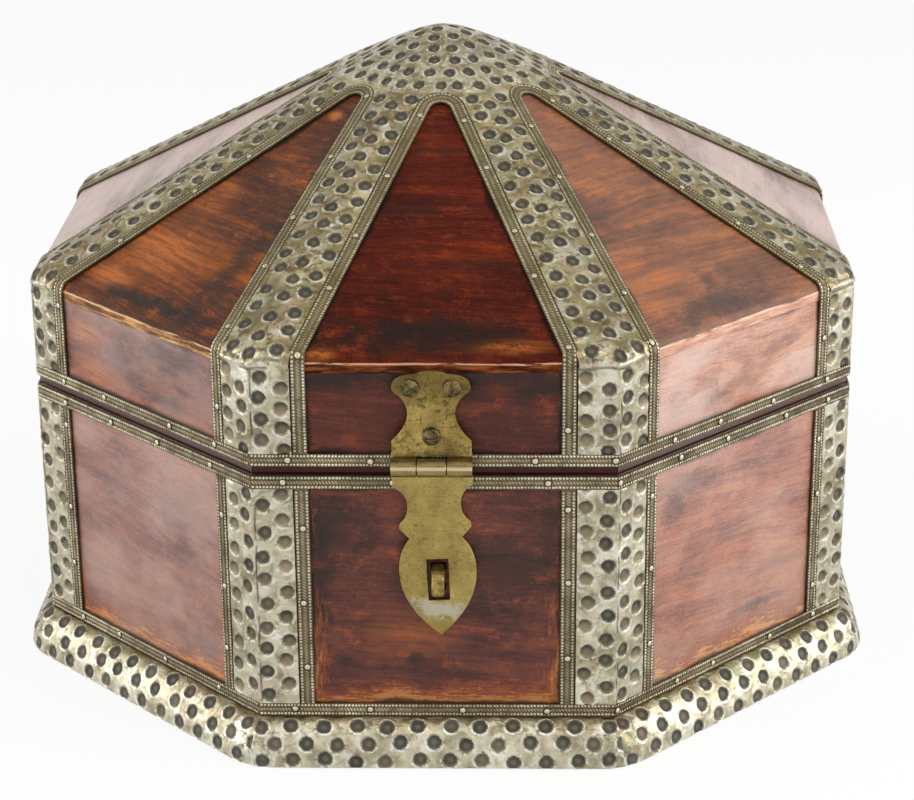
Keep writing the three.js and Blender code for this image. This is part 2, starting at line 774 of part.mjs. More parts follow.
// Hanging leaf of the hasp: scalloped neck, two points, and a pointed oval with the slot.
function haspLeaf() {
  const shape = mirroredShape((path) => {
    path.moveTo(0, -haspShoulder);
    path.lineTo(leafHalfWidth, -haspShoulder);
    path.lineTo(leafHalfWidth, -leafScallopStart);
    path.quadraticCurveTo(
      leafNeckHalfWidth, -leafScallopStart - leafScallopBend,
      leafNeckHalfWidth, -leafNeck,
    );
    path.quadraticCurveTo(
      leafNeckHalfWidth, -leafScallopEnd + leafScallopBend,
      leafScallopPointHalfWidth, -leafScallopEnd,
    );
    path.lineTo(leafPointHalfWidth, -leafPoint);
    path.lineTo(leafNotchHalfWidth, -leafNotch);
    path.quadraticCurveTo(
      leafBellyHalfWidth, -leafBelly + leafShoulderBend,
      leafBellyHalfWidth, -leafBelly,
    );
    path.quadraticCurveTo(leafBellyHalfWidth, -leafBelly - leafTipBend, 0, -leafTip);
  });
  const slot = boxSolid(
    [-slotWidth / 2, -haspBarrelRadius - cutOvershoot, -slotBottom],
    [slotWidth / 2, haspBarrelRadius + cutOvershoot, -slotTop],
  );
  const barrelRoom = boxSolid(
    [-haspBarrelLength, -haspBarrelRadius - cutOvershoot, -haspShoulder],
    [haspBarrelLength, haspBarrelRadius + cutOvershoot, haspBarrelRadius],
  );
  const hanging = cut(flatPlate(shape, haspBarrelRadius), [slot]);
  const leaning = hanging.rotate([0, -THREE.MathUtils.radToDeg(haspLean), 0]);
  const rolled = rolledLeaf(cut(leaning, [barrelRoom]), haspKnuckles.middle, haspBarrel);
  return toGeometry(rolled.translate(haspPlace));
}

const haspPin = () => toGeometry(barSolid(haspPinRadius, haspBarrelLength).translate(haspPlace));

// Back hinges: a leaf on the body with the two outer knuckles, and one on the lid with the
// middle knuckle.
const hingeKnuckles = knucklesOf(hingeBarrelLength, hingeMiddleKnuckle);
const hingeShoulder = hingeBarrelRadius + clearance;
const hingeBarrel = {
  radius: hingeBarrelRadius,
  pinRadius: hingePinRadius,
  length: hingeBarrelLength,
  shoulder: hingeShoulder,
};
const hingeAxisOut = woodApothem + brassInner + hingeBarrelRadius;
const hingeAxisHeight = bodyTop + seamGap / 2;
const hingePlace = (side) => [side * hingeSpread, hingeAxisOut, hingeAxisHeight];

function hingeLeaf(knuckles) {
  const shape = mirroredShape((path) => {
    path.moveTo(0, -hingeShoulder);
    path.lineTo(hingeBarrelLength / 2, -hingeShoulder);
    path.lineTo(hingeBarrelLength / 2, -hingeShoulder - hingeLeafLength);
    path.lineTo(0, -hingeShoulder - hingeLeafLength);
  });
  return rolledLeaf(flatPlate(shape, hingeBarrelRadius), knuckles, hingeBarrel).rotate([0, 0, 180]);
}

const bodyHingeLeaf = (side) => toGeometry(hingeLeaf(hingeKnuckles.outer).translate(hingePlace(side)));

function lidHingeLeaf(side) {
  return toGeometry(hingeLeaf(hingeKnuckles.middle).mirror([0, 0, 1]).translate(hingePlace(side)));
}

function hingePin(side) {
  return toGeometry(barSolid(hingePinRadius, hingeBarrelLength).translate(hingePlace(side)));
}

// Scene graph

function finish(color, roughness, metalness) {
  return new THREE.MeshStandardMaterial({ color, roughness, metalness, flatShading: true });
}

const wood = () => finish(woodColour, 0.5, 0);
const innerWood = () => finish(innerWoodColour, 0.7, 0);
const hammeredSheet = () => finish(sheetColour, 0.35, 1);
const embossedStrip = () => finish(stripColour, 0.45, 1);
const brass = () => finish(brassColour, 0.4, 1);
const steel = () => finish(steelColour, 0.4, 1);

function piece(parent, name, geometry, material) {
  const mesh = new THREE.Mesh(geometry, material);
  mesh.name = name;
  parent.add(mesh);
}

const box = new THREE.Group();
const body = new THREE.Group();
const lid = new THREE.Group();
const hasp = new THREE.Group();
lid.add(hasp);
box.add(body, lid);

const faceNames = [
  'front', 'front_right', 'right', 'back_right', 'back', 'back_left', 'left', 'front_left',
];

piece(body, 'bottom_board', bottomBoard(), innerWood());
piece(body, 'plinth_moulding', plinthMoulding(), innerWood());
piece(body, 'plinth_sheet', plinthSheet(), hammeredSheet());
// One group for each face, turned so that what is built on the front face lies on that face.
faceNames.forEach((faceName, k) => {
  const bodyFace = new THREE.Group();
  const lidFace = new THREE.Group();
  bodyFace.rotation.z = 2 * halfCorner * k;
  lidFace.rotation.z = 2 * halfCorner * k;
  body.add(bodyFace);
  lid.add(lidFace);
  const front = k === 0;
  piece(bodyFace, `wall_board_${faceName}`, front ? frontWallBoard() : wallBoard(), wood());
  piece(bodyFace, `corner_strap_${k + 1}`, bodyCornerStrap(), hammeredSheet());
  piece(lidFace, `lid_side_board_${faceName}`, front ? frontLidSideBoard() : lidSideBoard(), wood());
  piece(lidFace, `roof_board_${faceName}`, roofBoard(), wood());
  piece(lidFace, `ridge_strap_${k + 1}`, ridgeStrap(), hammeredSheet());
});
piece(body, 'body_edge_strips', bodyStrips(), embossedStrip());
piece(body, 'staple', staple(), brass());
piece(lid, 'crown_sheet', crownSheet(), hammeredSheet());
piece(lid, 'lid_edge_strips', lidStrips(), embossedStrip());
piece(lid, 'hasp_plate', haspPlate(), brass());
piece(lid, 'hasp_pin', haspPin(), steel());
piece(lid, 'hasp_screw_upper_left', haspScrew(upperLeftScrew), steel());
piece(lid, 'hasp_screw_upper_right', haspScrew(upperRightScrew), steel());
piece(lid, 'hasp_screw_lower', haspScrew(lowerScrew), steel());
for (const [side, sideName] of [[1, 'right'], [-1, 'left']]) {
  piece(body, `hinge_body_leaf_${sideName}`, bodyHingeLeaf(side), brass());
  piece(lid, `hinge_lid_leaf_${sideName}`, lidHingeLeaf(side), brass());
  piece(lid, `hinge_pin_${sideName}`, hingePin(side), steel());
}
piece(hasp, 'hasp_leaf', haspLeaf(), brass());

export default box;
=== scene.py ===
import math

import bmesh
import bpy
import numpy as np
from mathutils import Matrix, Vector

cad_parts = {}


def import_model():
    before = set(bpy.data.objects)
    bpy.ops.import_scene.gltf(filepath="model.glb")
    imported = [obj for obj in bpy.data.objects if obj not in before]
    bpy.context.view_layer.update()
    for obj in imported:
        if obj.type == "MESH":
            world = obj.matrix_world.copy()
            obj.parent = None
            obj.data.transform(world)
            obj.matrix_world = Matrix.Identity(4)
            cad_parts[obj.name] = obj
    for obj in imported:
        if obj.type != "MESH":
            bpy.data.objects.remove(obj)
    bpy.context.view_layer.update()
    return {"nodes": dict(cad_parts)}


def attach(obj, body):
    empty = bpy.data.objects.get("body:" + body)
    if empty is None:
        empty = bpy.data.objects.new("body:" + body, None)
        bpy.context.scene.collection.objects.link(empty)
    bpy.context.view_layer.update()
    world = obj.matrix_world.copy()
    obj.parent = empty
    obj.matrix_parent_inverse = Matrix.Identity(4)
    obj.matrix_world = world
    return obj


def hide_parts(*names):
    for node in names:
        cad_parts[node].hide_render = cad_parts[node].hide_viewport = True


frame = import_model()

scene = bpy.context.scene

# Sizes of the solids, in millimetres

MM = 0.001
clearance = 0.3
joint_gap = 0.28
face_count = 8
half_corner = math.pi / face_count
corner_tan = math.tan(half_corner)
wood_apothem = 137.2
corner_half_width = wood_apothem * corner_tan
sheet_outer = 0.9
strap_width = 12.9
strip_width = 4.5
panel_half_width = corner_half_width - strap_width

seam_gap = 0.9
body_top = 98.6
lid_bottom = body_top + seam_gap
lid_side_top = lid_bottom + 32.7
foot_strip_bottom, foot_strip_height = 14.8, 4.2
body_rim_strip_top, body_rim_strip_height = body_top - 0.1, 4.3
lid_rim_strip_bottom, lid_rim_strip_height = lid_bottom + 2.3, 4.1
foot_strip_top = foot_strip_bottom + foot_strip_height
body_rim_strip_bottom = body_rim_strip_top - body_rim_strip_height
lid_rim_strip_top = lid_rim_strip_bottom + lid_rim_strip_height

roof_pitch = math.radians(29)
pitch_cos, pitch_sin, pitch_tan = math.cos(roof_pitch), math.sin(roof_pitch), math.tan(roof_pitch)
eave_radius, eave_rise = 4, 5.16
wood_apex = lid_side_top + eave_rise + wood_apothem * pitch_tan
arc_centre_apothem = wood_apothem - eave_radius
slope_end = (arc_centre_apothem + eave_radius * pitch_sin) / pitch_cos
arc_centre_height = wood_apex - slope_end * pitch_sin - eave_radius * pitch_cos
arc_angle = math.pi / 2 - roof_pitch
eave_end = slope_end + eave_radius * arc_angle

ridge_tan = corner_tan * pitch_cos
ridge_angle = math.atan(ridge_tan)
panel_top_distance = 40.6
measured_distance, measured_strap_width = 50, 8.6
measured_half_width = ridge_tan * measured_distance - measured_strap_width * math.hypot(1, ridge_tan)
side_slope = (panel_half_width - measured_half_width) / (slope_end - measured_distance)
side_start = measured_half_width - side_slope * measured_distance
side_secant = math.hypot(1, side_slope)
panel_top_radius = (side_slope * panel_top_distance + side_start) / (side_secant - side_slope)
panel_top_centre = panel_top_distance + panel_top_radius
tangent_angle = math.acos(side_slope / side_secant)

plinth_curve = np.array([(138.1, 14.5), (141.5, 13.9), (146.6, 9.0), (147.0, 0.4)])
crown_edge = (panel_top_distance - clearance) * pitch_cos
crown_flattening = 5.1
crown_roundness = 1.04

hasp_axis_height = lid_bottom + 3.3
arris_height = arc_centre_height + 0.5

face_names = ["front", "front_right", "right", "back_right", "back", "back_left", "left", "front_left"]

# Node trees written as expressions


class Value:
    """A node's output in a sum: adding or scaling it adds the node that does so."""

    def __init__(self, work, socket):
        self.work, self.socket = work, socket

    def __add__(self, other):
        return self.work.maths("ADD", self, other)

    def __sub__(self, other):
        return self.work.maths("SUBTRACT", self, other)

    def __rsub__(self, other):
        return self.work.maths("SUBTRACT", other, self)

    def __mul__(self, other):
        return self.work.maths("MULTIPLY", self, other)

    def __truediv__(self, other):
        return self.work.maths("DIVIDE", self, other)

    def __rtruediv__(self, other):
        return self.work.maths("DIVIDE", other, self)

    def __abs__(self):
        return self.work.maths("ABSOLUTE", self)

    __radd__ = __add__
    __rmul__ = __mul__


class Work:
    """A node tree, filled one node at a time."""

    def __init__(self, tree):
        self.tree = tree

    def node(self, kind, settings=None, sockets=None, output=0):
        """A new node's output: its settings first, such as a ramp's stops of (place, colour), and
        then its sockets, with numbers in them or values linked to them."""
        made = self.tree.nodes.new(kind)
        for name, value in (settings or {}).items():
            if name == "stops":
                elements = made.color_ramp.elements
                for at, _ in value[2:]:
                    elements.new(at)
                for element, (at, tone) in zip(elements, value):
                    element.position, element.color = at, tone
            else:
                setattr(made, name, value)
        for key, value in (sockets or {}).items():
            if isinstance(value, Value):
                self.tree.links.new(value.socket, made.inputs[key])
            else:
                made.inputs[key].default_value = value
        return Value(self, made.outputs[output]) if made.outputs else None

    def maths(self, operation, *values):
        return self.node("ShaderNodeMath", {"operation": operation}, dict(enumerate(values)))

    def vector(self, x, y, z):
        return self.node("ShaderNodeCombineXYZ", {}, {0: x, 1: y, 2: z})

    def parts(self, vector):
        split = self.node("ShaderNodeSeparateXYZ", {}, {0: vector})
        return [Value(self, socket) for socket in split.socket.node.outputs]

    def between(self, value, low, high, at_low=0.0, at_high=1.0):
        """Goes smoothly from one number to another while the value goes from low to high."""
        return self.node(
            "ShaderNodeMapRange",
            {"interpolation_type": "SMOOTHSTEP"},
            {"Value": value, "From Min": low, "From Max": high, "To Min": at_low, "To Max": at_high},
        )

    def noise(self, vector, scale=1.0, detail=2.0, roughness=0.5, distortion=0.0):
        sockets = {"Vector": vector, "Scale": scale, "Detail": detail, "Roughness": roughness}
        return self.node("ShaderNodeTexNoise", {}, {**sockets, "Distortion": distortion})


class Making(Work):
    """A tree of geometry nodes with named sizes, which takes and gives a mesh."""

    def __init__(self, name, **sizes):
        super().__init__(bpy.data.node_groups.new(name, "GeometryNodeTree"))
        interface = self.tree.interface
        interface.new_socket("Geometry", in_out="INPUT", socket_type="NodeSocketGeometry")
        for size, value in sizes.items():
            kind = "NodeSocketInt" if isinstance(value, int) else "NodeSocketFloat"
            interface.new_socket(size, in_out="INPUT", socket_type=kind).default_value = value
        interface.new_socket("Geometry", in_out="OUTPUT", socket_type="NodeSocketGeometry")
        entry = self.node("NodeGroupInput").socket.node
        self.given = {socket.name: Value(self, socket) for socket in entry.outputs if socket.name}
        self.position = self.node("GeometryNodeInputPosition")
        self.index = self.node("GeometryNodeInputIndex")

    def random(self, low, high, seed, number=None):
        """A vector between two others for each point, or for each number."""
        least, most, own_number, own_seed = 0, 1, 7, 8
        sockets = {least: low, most: high, own_seed: seed}
        if number is not None:
            sockets[own_number] = number
        return self.node("FunctionNodeRandomValue", {"data_type": "FLOAT_VECTOR"}, sockets)

    def moved(self, geometry, **sockets):
        return self.node("GeometryNodeSetPosition", {}, {"Geometry": geometry, **sockets})

    def marked(self, geometry, name, value):
        settings = {"data_type": "FLOAT", "domain": "POINT"}
        sockets = {"Geometry": geometry, "Name": name, "Value": value}
        return self.node("GeometryNodeStoreNamedAttribute", settings, sockets)

    def line(self, count, start, offset):
        sockets = {"Count": count, "Start Location": start, "Offset": offset}
        return self.node("GeometryNodeMeshLine", {"mode": "OFFSET"}, sockets)

    def scattered(self, points, shape, **sockets):
        sockets = {"Points": points, "Instance": shape, **sockets}
        return self.node("GeometryNodeInstanceOnPoints", {}, sockets)

    def joined(self, geometries):
        join = self.node("GeometryNodeJoinGeometry")
        for geometry in geometries:
            self.tree.links.new(geometry.socket, join.socket.node.inputs[0])
        return join

    def finished(self, geometry, material):
        real = self.node("GeometryNodeRealizeInstances", {}, {"Geometry": geometry})
        covered = self.node("GeometryNodeSetMaterial", {}, {"Geometry": real, "Material": material})
        self.node("NodeGroupOutput", {}, {0: covered})
        return self.tree


def colour(code):
    """A colour's linear values from its six hexadecimal digits."""
    shares = [int(code[i:i + 2], 16) / 255 for i in (0, 2, 4)]
    return (*(s / 12.92 if s <= 0.04045 else ((s + 0.055) / 1.055) ** 2.4 for s in shares), 1.0)


class Finish(Work):
    """A material whose look is worked out from the place on the piece."""

    def __init__(self, name):
        self.material = bpy.data.materials.new(name)
        self.material.use_nodes = True
        super().__init__(self.material.node_tree)
        self.tree.nodes.clear()
        self.place = self.node("ShaderNodeTexCoord", output="Object")

    def local(self, location=(0, 0, 0), rotation=(0, 0, 0)):
        """The place in millimetres, from a corner of its own and turned."""
        sockets = {"Vector": self.place, "Location": location, "Rotation": rotation, "Scale": (MM,) * 3}
        return self.node("ShaderNodeMapping", {"vector_type": "TEXTURE"}, sockets)

    def mark(self, name):
        return self.node("ShaderNodeAttribute", {"attribute_name": name}, {}, output="Fac")

    def length(self, x, y):
        return self.maths("SQRT", x * x + y * y)

    def mix(self, share, first, second):
        factor, colour_a, colour_b, mixed_colour = 0, 6, 7, 2
        settings = {"data_type": "RGBA", "clamp_factor": True}
        sockets = {factor: share, colour_a: first, colour_b: second}
        return self.node("ShaderNodeMix", settings, sockets, mixed_colour)

    def ramp(self, value, *stops):
        """A colour by a value, from stops of (value, colour) that rise."""
        stops = [(at, colour(code)) for at, code in stops]
        return self.node("ShaderNodeValToRGB", {"stops": stops}, {"Fac": value})

    def cover(self, share, code):
        """Lays a colour over the base so far."""
        self.base = self.mix(share, self.base, colour(code))

    def settle(self, roughness, metallic, height, depth, shine=0.5):
        """The shader over the base, with a bump of so many millimetres."""
        bump = self.node("ShaderNodeBump", {}, {"Height": height, "Distance": depth * MM})
        sockets = {"Base Color": self.base, "Roughness": roughness, "Metallic": metallic}
        sockets = {**sockets, "Normal": bump, "Specular IOR Level": shine}
        shader = self.node("ShaderNodeBsdfPrincipled", {}, sockets)
        self.node("ShaderNodeOutputMaterial", {}, {"Surface": shader})
        return self.material


# Wood

raw_wood = ((0.35, "50311f"), (0.65, "7d5436"))


def wood_finish(name, face, slope, dark, mid, light, edges, wear=None, smears=(), patches=(),
                painted_sheen=None, stains=0.5, embers=0.5, shine=0.4, band=None, rim=None):
    """Old polished wood: soft dark and orange clouds over a fine level grain, worn through to
    golden wood in ragged strokes along its edges, with black dirt and painted shade beside the
    strips. Smears and patches are (across, up, half width, half height, strength), in millimetres
    from the middle of the face and the table or apex. The sheen is (strength, colour): a painted
    reflection. A band gives the colours between the eave and the joint below it and of the line at
    the eave, a painted highlight over wear, and how dark the joint is. The seam's painted shade is
    (height, height, colour)."""
    f = Finish(name)
    place = f.local(rotation=(0, 0, 2 * half_corner * face))
    across, out, height = f.parts(place)
    outer = f.between(out * -1, wood_apothem - 1.2, wood_apothem - 0.5)
    up = height
    if slope:
        tipped = f.local((0, 0, wood_apex * MM), (-arc_angle, 0, 2 * half_corner * face))
        _, lying, up = f.parts(tipped)
        outer = f.maths("MAXIMUM", outer, f.between(lying * -1, -2.5, -1.5))
    seed = 13.7 * face + (5.3 if slope else 0.0)

    def grain(across_rate, offset, up_rate, detail, roughness=0.5, along=up):
        point = f.vector(across * across_rate, seed + offset, along * up_rate)
        return f.noise(point, 1, detail, roughness)

    wander = grain(0.011, 0, 0.03, 2) - 0.5
    level = up + wander * 16 + across * 0.06
    clouds = grain(0.022, 17, 0.04, 5, 0.62)
    mottle = grain(0.13, 19, 0.17, 4, 0.66)
    bands = grain(0.012, 3, 0.16, 5, 0.62, level)
    streaks = grain(0.035, 7, 0.6, 4, 0.62, level)
    fibres = grain(0.22, 11, 1.9, 4, 0.68, level)
    crossed = grain(1.7, 13, 0.5, 3, 0.65, level)
    clumps = grain(0.05, 37, 0.05, 3)
    grit = f.noise(place, 0.9, 4, 0.72)

    tone = clouds * 0.32 + mottle * 0.14 + bands * 0.2 + streaks * 0.2 + fibres * 0.1 + crossed * 0.04
    f.base = f.ramp(tone, (0.4, dark), (0.5, mid), (0.6, light))
    fine = (fibres - 0.5) * 0.9 + (crossed - 0.5) * (0.35 if slope else 0.55) + (grit - 0.5) * 0.6
    f.cover(f.between(fine, 0.02, 0.34) * 0.6, light)
    f.cover(f.between(fine, -0.02, -0.34) * 0.6, dark)
    ember = f.between(mottle + fine * 0.3, 0.54, 0.68) * f.between(bands, 0.4, 0.6)
    f.cover(ember * embers, "b0541f")
    f.cover(f.between(grain(0.03, 29, 0.06, 5, 0.68) + fine * 0.25, 0.56, 0.7) * stains, "201816")
    f.cover(f.between(f.noise(place, 0.33, 1, 0.4), 0.77, 0.8) * 0.5, "1a1210")

    ragged = (fibres - 0.5) * 1.6 + (grit - 0.5) * 1.4 + (mottle - 0.5) * 2.4
    brushed = f.between(streaks * 0.4 + fibres * 0.35 + grit * 0.25, 0.42, 0.56)
    for spots, tint, least in ((patches, "b4662e", 0.35), (smears, "241d19", 0.75)):
        for middle, middle_up, half_width, half_height, strength in spots:
            reach = f.length((across - middle) / half_width, (up - middle_up) / half_height)
            shown = f.between(reach + ragged * 0.75, 1.4, 0.3) * (brushed * (1 - least) + least)
            f.cover(shown * strength, tint)

    sides, low, high = edges
    if sides is None:
        side = up * -side_slope + side_start - abs(across) - strip_width * side_secant
    else:
        side = sides - abs(across)
    reaches = {"side": side, "low": up - low, "high": high - up}
    for edge, (reach, strength, tint) in (wear or {}).items():
        across_rate, up_rate = (1.1, 0.14) if edge == "side" else (0.14, 1.1)
        strokes = grain(across_rate, 31, up_rate, 4, 0.7)
        depth = reaches[edge] / reach + (strokes - 0.5) * 3.4 + (clumps - 0.5) * 3.0 + (grit - 0.5) * 1.4
        if edge == "side":
            depth = depth + f.between(reaches["low"], 8, 45) * 0.9
        f.cover(f.between(depth, 1.2, 0.6) * (strength * 0.8), "96502b")
        f.cover(f.between(depth, 0.55, 0.2) * strength, tint)
    # Black dirt with painted shade along the edges of the strips.
    nearest = f.maths("MINIMUM", side, f.maths("MINIMUM", reaches["low"], reaches["high"]))
    strip_dirt_and_shade = f.between(nearest + (grit - 0.5) * 2.5 + (clumps - 0.5) * 7, 1.4, 0.0)
    strip_dirt_and_shade = strip_dirt_and_shade * f.between(nearest, -1.6, -0.6)
    f.cover(strip_dirt_and_shade * 0.8, "1b1513")
    # A painted sheen: a reflection laid into the colour.
    if painted_sheen:
        f.cover(f.between(clouds, 0.38, 0.6) * painted_sheen[0], painted_sheen[1])
    if band:
        below_eave = arris_height - height + (clumps - 0.5) * 1.6
        streaky = grain(0.09, 41, 0.8, 4, 0.7, height)
        strip = f.ramp(streaky, *zip((0.38, 0.5, 0.62), band[:3]))
        f.base = f.mix(f.between(below_eave, -0.3, 0.3), f.base, strip)
        joint = height - lid_side_top + (streaky - 0.5) * 4
        f.cover(f.between(joint, 0.9, 0.0) * band[4], "1d1613")
        # The line along the eave: a painted highlight over worn wood.
        eave_wear_and_highlight = f.between(abs(below_eave), 0.5, 0.12) * f.between(streaky, 0.38, 0.52)
        f.cover(eave_wear_and_highlight * 0.9, band[3])
    # Painted shade in the seam between lid and body.
    if rim:
        f.cover(f.between(height, *rim[:2]) * 0.9, rim[2])

    f.base = f.mix(outer, f.ramp(bands * 0.6 + fibres * 0.4, *raw_wood), f.base)
    roughness = 0.7 - outer * (0.34 - (clouds - 0.5) * 0.3 - strip_dirt_and_shade * 0.2)
    relief = streaks * 0.3 + fibres * 0.45 + grit * 0.5 + crossed * 0.2
    return f.settle(roughness, 0.0, relief, 0.35, shine)


def inner_wood_finish():
    f = Finish("inner_wood")
    x, y, z = f.parts(f.local())
    bands = f.noise(f.vector(x * 0.02, y * 0.3, z * 0.3), 1, 4, 0.6)
    fibres = f.noise(f.vector(x * 0.1, y * 2, z * 2), 1, 2)
    f.base = f.ramp(bands * 0.7 + fibres * 0.3, *raw_wood)
    return f.settle(0.7, 0.0, fibres, 0.2)


# Metal

plate_dark_from, plate_dark_to = 117, 130
rub_across, rub_height, rub_half_width, rub_half_height = 1.0, 54.0, 9, 3.4
leaf_tip_from, leaf_tip = 51, 47.5


def sheet_finish():
    """Hammered sheet: pale dull silver, browner where it lies flatter, with olive stains, and
    punches with dark bottoms. Painted highlights lie on its raised parts and on the punches' rims
    and centres, and painted shade in its low parts, on the punches' upper sides and in its creases."""
    f = Finish("hammered_sheet")
    place = f.local()
    x, y, z = f.parts(place)
    names = ("punch", "core", "lip", "tone", "rise", "grime", "patina", "shade", "crack")
    punch, core, lip, tone, rise, grime, patina, shade, crack = map(f.mark, names)
    clouds = f.noise(place, 0.05, 4, 0.6)
    tints = f.noise(place, 0.12, 2)
    stains = f.noise(place, 0.2, 4, 0.68, 0.9)
    smoke = f.noise(place, 0.42, 3, 0.65, 0.5)
    specks = f.noise(place, 1.5, 3, 0.72)
    strokes = f.noise(f.vector(x * 0.14, y * 0.14, z * 0.6), 1, 3, 0.6)
    bright = f.ramp(clouds, (0.35, "a7a083"), (0.5, "c8c2a6"), (0.66, "e2ddc8"))
    brown = f.ramp(clouds, (0.35, "6e613c"), (0.5, "8a7d55"), (0.66, "a99d75"))
    f.base = f.mix(patina, bright, brown)
    f.cover(f.between(tints, 0.52, 0.62) * 0.35, "9fa48c")
    f.cover(f.between(tints, 0.46, 0.36) * 0.35, "b39c88")
    # Painted highlight on the raised parts of the sheet, and painted shade with some dirt in its low parts.
    f.cover(f.between(rise, 0.5, 0.66) * (0.5 - patina * 0.25), "eeebdf")
    f.cover(f.between(rise, 0.48, 0.33) * 0.55, "6c6146")
    olive = f.between(stains + (specks - 0.5) * 0.25, 0.5, 0.62) * (0.42 + 0.58 * patina)
    f.cover(olive * 0.8, "5f4f24")
    f.cover(f.between(strokes, 0.57, 0.65) * patina * 0.7, "54401f")
    rings = lip * f.between(smoke, 0.54, 0.64)
    rings = rings + f.between(smoke + (specks - 0.5) * 0.2, 0.62, 0.72) * 0.6
    f.cover(rings * 0.55, "4e3f28")
    # Painted highlight on each punch's rim, strongest on its lower side.
    glint = lip * f.between(smoke, 0.58, 0.46) * f.between(shade, 0.9, -0.7, 0.2, 1.0)
    f.cover(glint * (0.9 - patina * 0.3), "f0ecde")
    stops = ((0.0, "191a17"), (0.3, "282a25"), (0.55, "35342a"), (0.78, "403324"), (1.0, "544e3e"))
    hollow = f.mix(patina * 0.55, f.ramp(tone, *stops), colour("2a2014"))
    shallow = f.ramp(tone, (0.1, "6f6548"), (0.5, "857a5a"), (0.9, "98866c"))
    # The punches' bottoms are darker on their upper side: painted shade over their dark patina.
    bottom = f.mix(f.between(grime + shade * 0.5, 0.1, 0.9), shallow, hollow)
    # A painted highlight at the centre of each punch.
    bottom = f.mix(core * 0.24, bottom, colour("a39a7c"))
    f.base = f.mix(punch * 0.95, f.base, bottom)
    # Painted shade, with some dirt, along the sheet's creases and splits.
    f.cover(crack * 0.9, "2b241b")
    dull = f.maths("MAXIMUM", punch * (0.3 + 0.7 * grime), crack)
    roughness = 0.3 + (specks - 0.5) * 0.2 + olive * 0.25 + dull * 0.25
    metallic = 0.88 - olive * 0.4 - rings * 0.3 - dull * 0.6
    return f.settle(roughness, metallic, specks * 0.5 + stains * 0.9, 0.22)


def strip_finish():
    """Embossed strip: worn pale beads over a brown ground, a golden twist and cream brads, with a painted
    shadow round each brad.
    """
    f = Finish("embossed_strip")
    place = f.local()
    relief = f.mark("relief")
    clouds = f.noise(place, 0.06, 4, 0.6)
    specks = f.noise(place, 1.3, 3, 0.7)
    height = f.parts(place)[2]
    tarnish = f.noise(place, 0.19, 4, 0.7, 0.4)
    ground = f.ramp(clouds, (0.35, "4f4433"), (0.65, "75684e"))
    twist = f.ramp(clouds, (0.35, "85785a"), (0.65, "aca182"))
    bead = f.ramp(clouds + (specks - 0.5) * 0.5, (0.3, "a69c80"), (0.65, "dad4c0"))
    f.base = f.mix(f.between(relief, 0.2, 0.5), ground, twist)
    f.base = f.mix(f.between(relief, 0.7, 0.9), f.base, bead)
    f.cover(f.between(tarnish, 0.5, 0.64) * 0.55, "54442b")
    f.cover(f.between(relief, 1.5, 1.8), "cdc6ac")
    # Painted shadow in the dark ring round each brad.
    f.cover(f.between(relief, -0.2, -0.8), "463a28")
    f.cover(f.between(height, lid_side_top + 4, lid_side_top + 8) * 0.4, "6b5f35")
    f.cover(f.between(specks, 0.6, 0.75) * 0.6, "4a3d28")
    return f.settle(0.4 + (specks - 0.5) * 0.3, 0.75, specks, 0.1)


def brass_finish(name, base_tones, lean, worn=False):
    """Old brass: mottled, specked and finely scratched, darker on the hasp's barrel, with a painted
    highlight along it and painted shade at its top and bottom, and rubbed to grey under the leaf's slot."""
    f = Finish(name)
    place = f.local(rotation=(0, lean, 0))
    x, y, z = f.parts(place)
    clouds = f.noise(place, 0.11, 5, 0.66)
    blotches = f.noise(place, 0.3, 4, 0.7, 0.6)
    specks = f.noise(place, 1.1, 4, 0.75)
    lines = f.noise(f.vector(x * 0.12, y * 0.5, z * 3.2), 1, 3, 0.7)
    tone = clouds * 0.45 + blotches * 0.25 + lines * 0.15 + specks * 0.15
    f.base = f.ramp(tone, *[(0.38 + 0.08 * i, code) for i, code in enumerate(base_tones)])
    blotched = f.between(blotches + (specks - 0.5) * 0.4, 0.5, 0.64) * (0.3 if worn else 0.75)
    f.cover(blotched, "4e4220")
    f.cover(f.between(specks, 0.57, 0.68) * 0.75, "453719")
    across, _, up = f.parts(f.local())
    f.cover(f.between(up + (blotches - 0.5) * 22, plate_dark_from, plate_dark_to) * 0.6, "4a3c1c")
    off_axis = up - hasp_axis_height
    barrel = f.between(abs(off_axis), 3.3, 2.6)
    f.cover(barrel * 0.3, "62553a")
    # Painted shade along the barrel's top and bottom, and a painted highlight along it just above its axis.
    f.cover(barrel * f.between(abs(off_axis), 0.9, 2.4) * 0.75, "54472c")
    f.cover(f.between(abs(off_axis - 0.7), 0.75, 0.2) * barrel * 0.7, "d6cdae")
    if worn:
        rub_up = up - rub_height + across * 0.22
        reach = f.length((across - rub_across) / rub_half_width, rub_up / rub_half_height)
        reach = reach + (lines - 0.5) * 1.6 + (blotches - 0.5) * 3
        f.cover(f.between(reach, 1.2, 0.5) * 0.75, "b4b2a0")
        f.cover(f.between(up, leaf_tip_from, leaf_tip) * 0.5, "8f8138")
    roughness = 0.36 + (clouds - 0.5) * 0.3 + (lines - 0.5) * 0.2 - barrel * 0.14
    return f.settle(roughness, 0.85, lines * 0.6 + specks * 0.6 + clouds * 2, 0.16)


def steel_finish():
    f = Finish("steel")
    place = f.local()
    clouds = f.noise(place, 0.5, 3, 0.6)
    specks = f.noise(place, 2.2, 3, 0.7)
    f.base = f.ramp(clouds * 0.7 + specks * 0.3, (0.38, "2c2416"), (0.62, "83744c"))
    return f.settle(0.45 + (specks - 0.5) * 0.3, 0.8, specks, 0.12)


# Where a flat point goes on the box


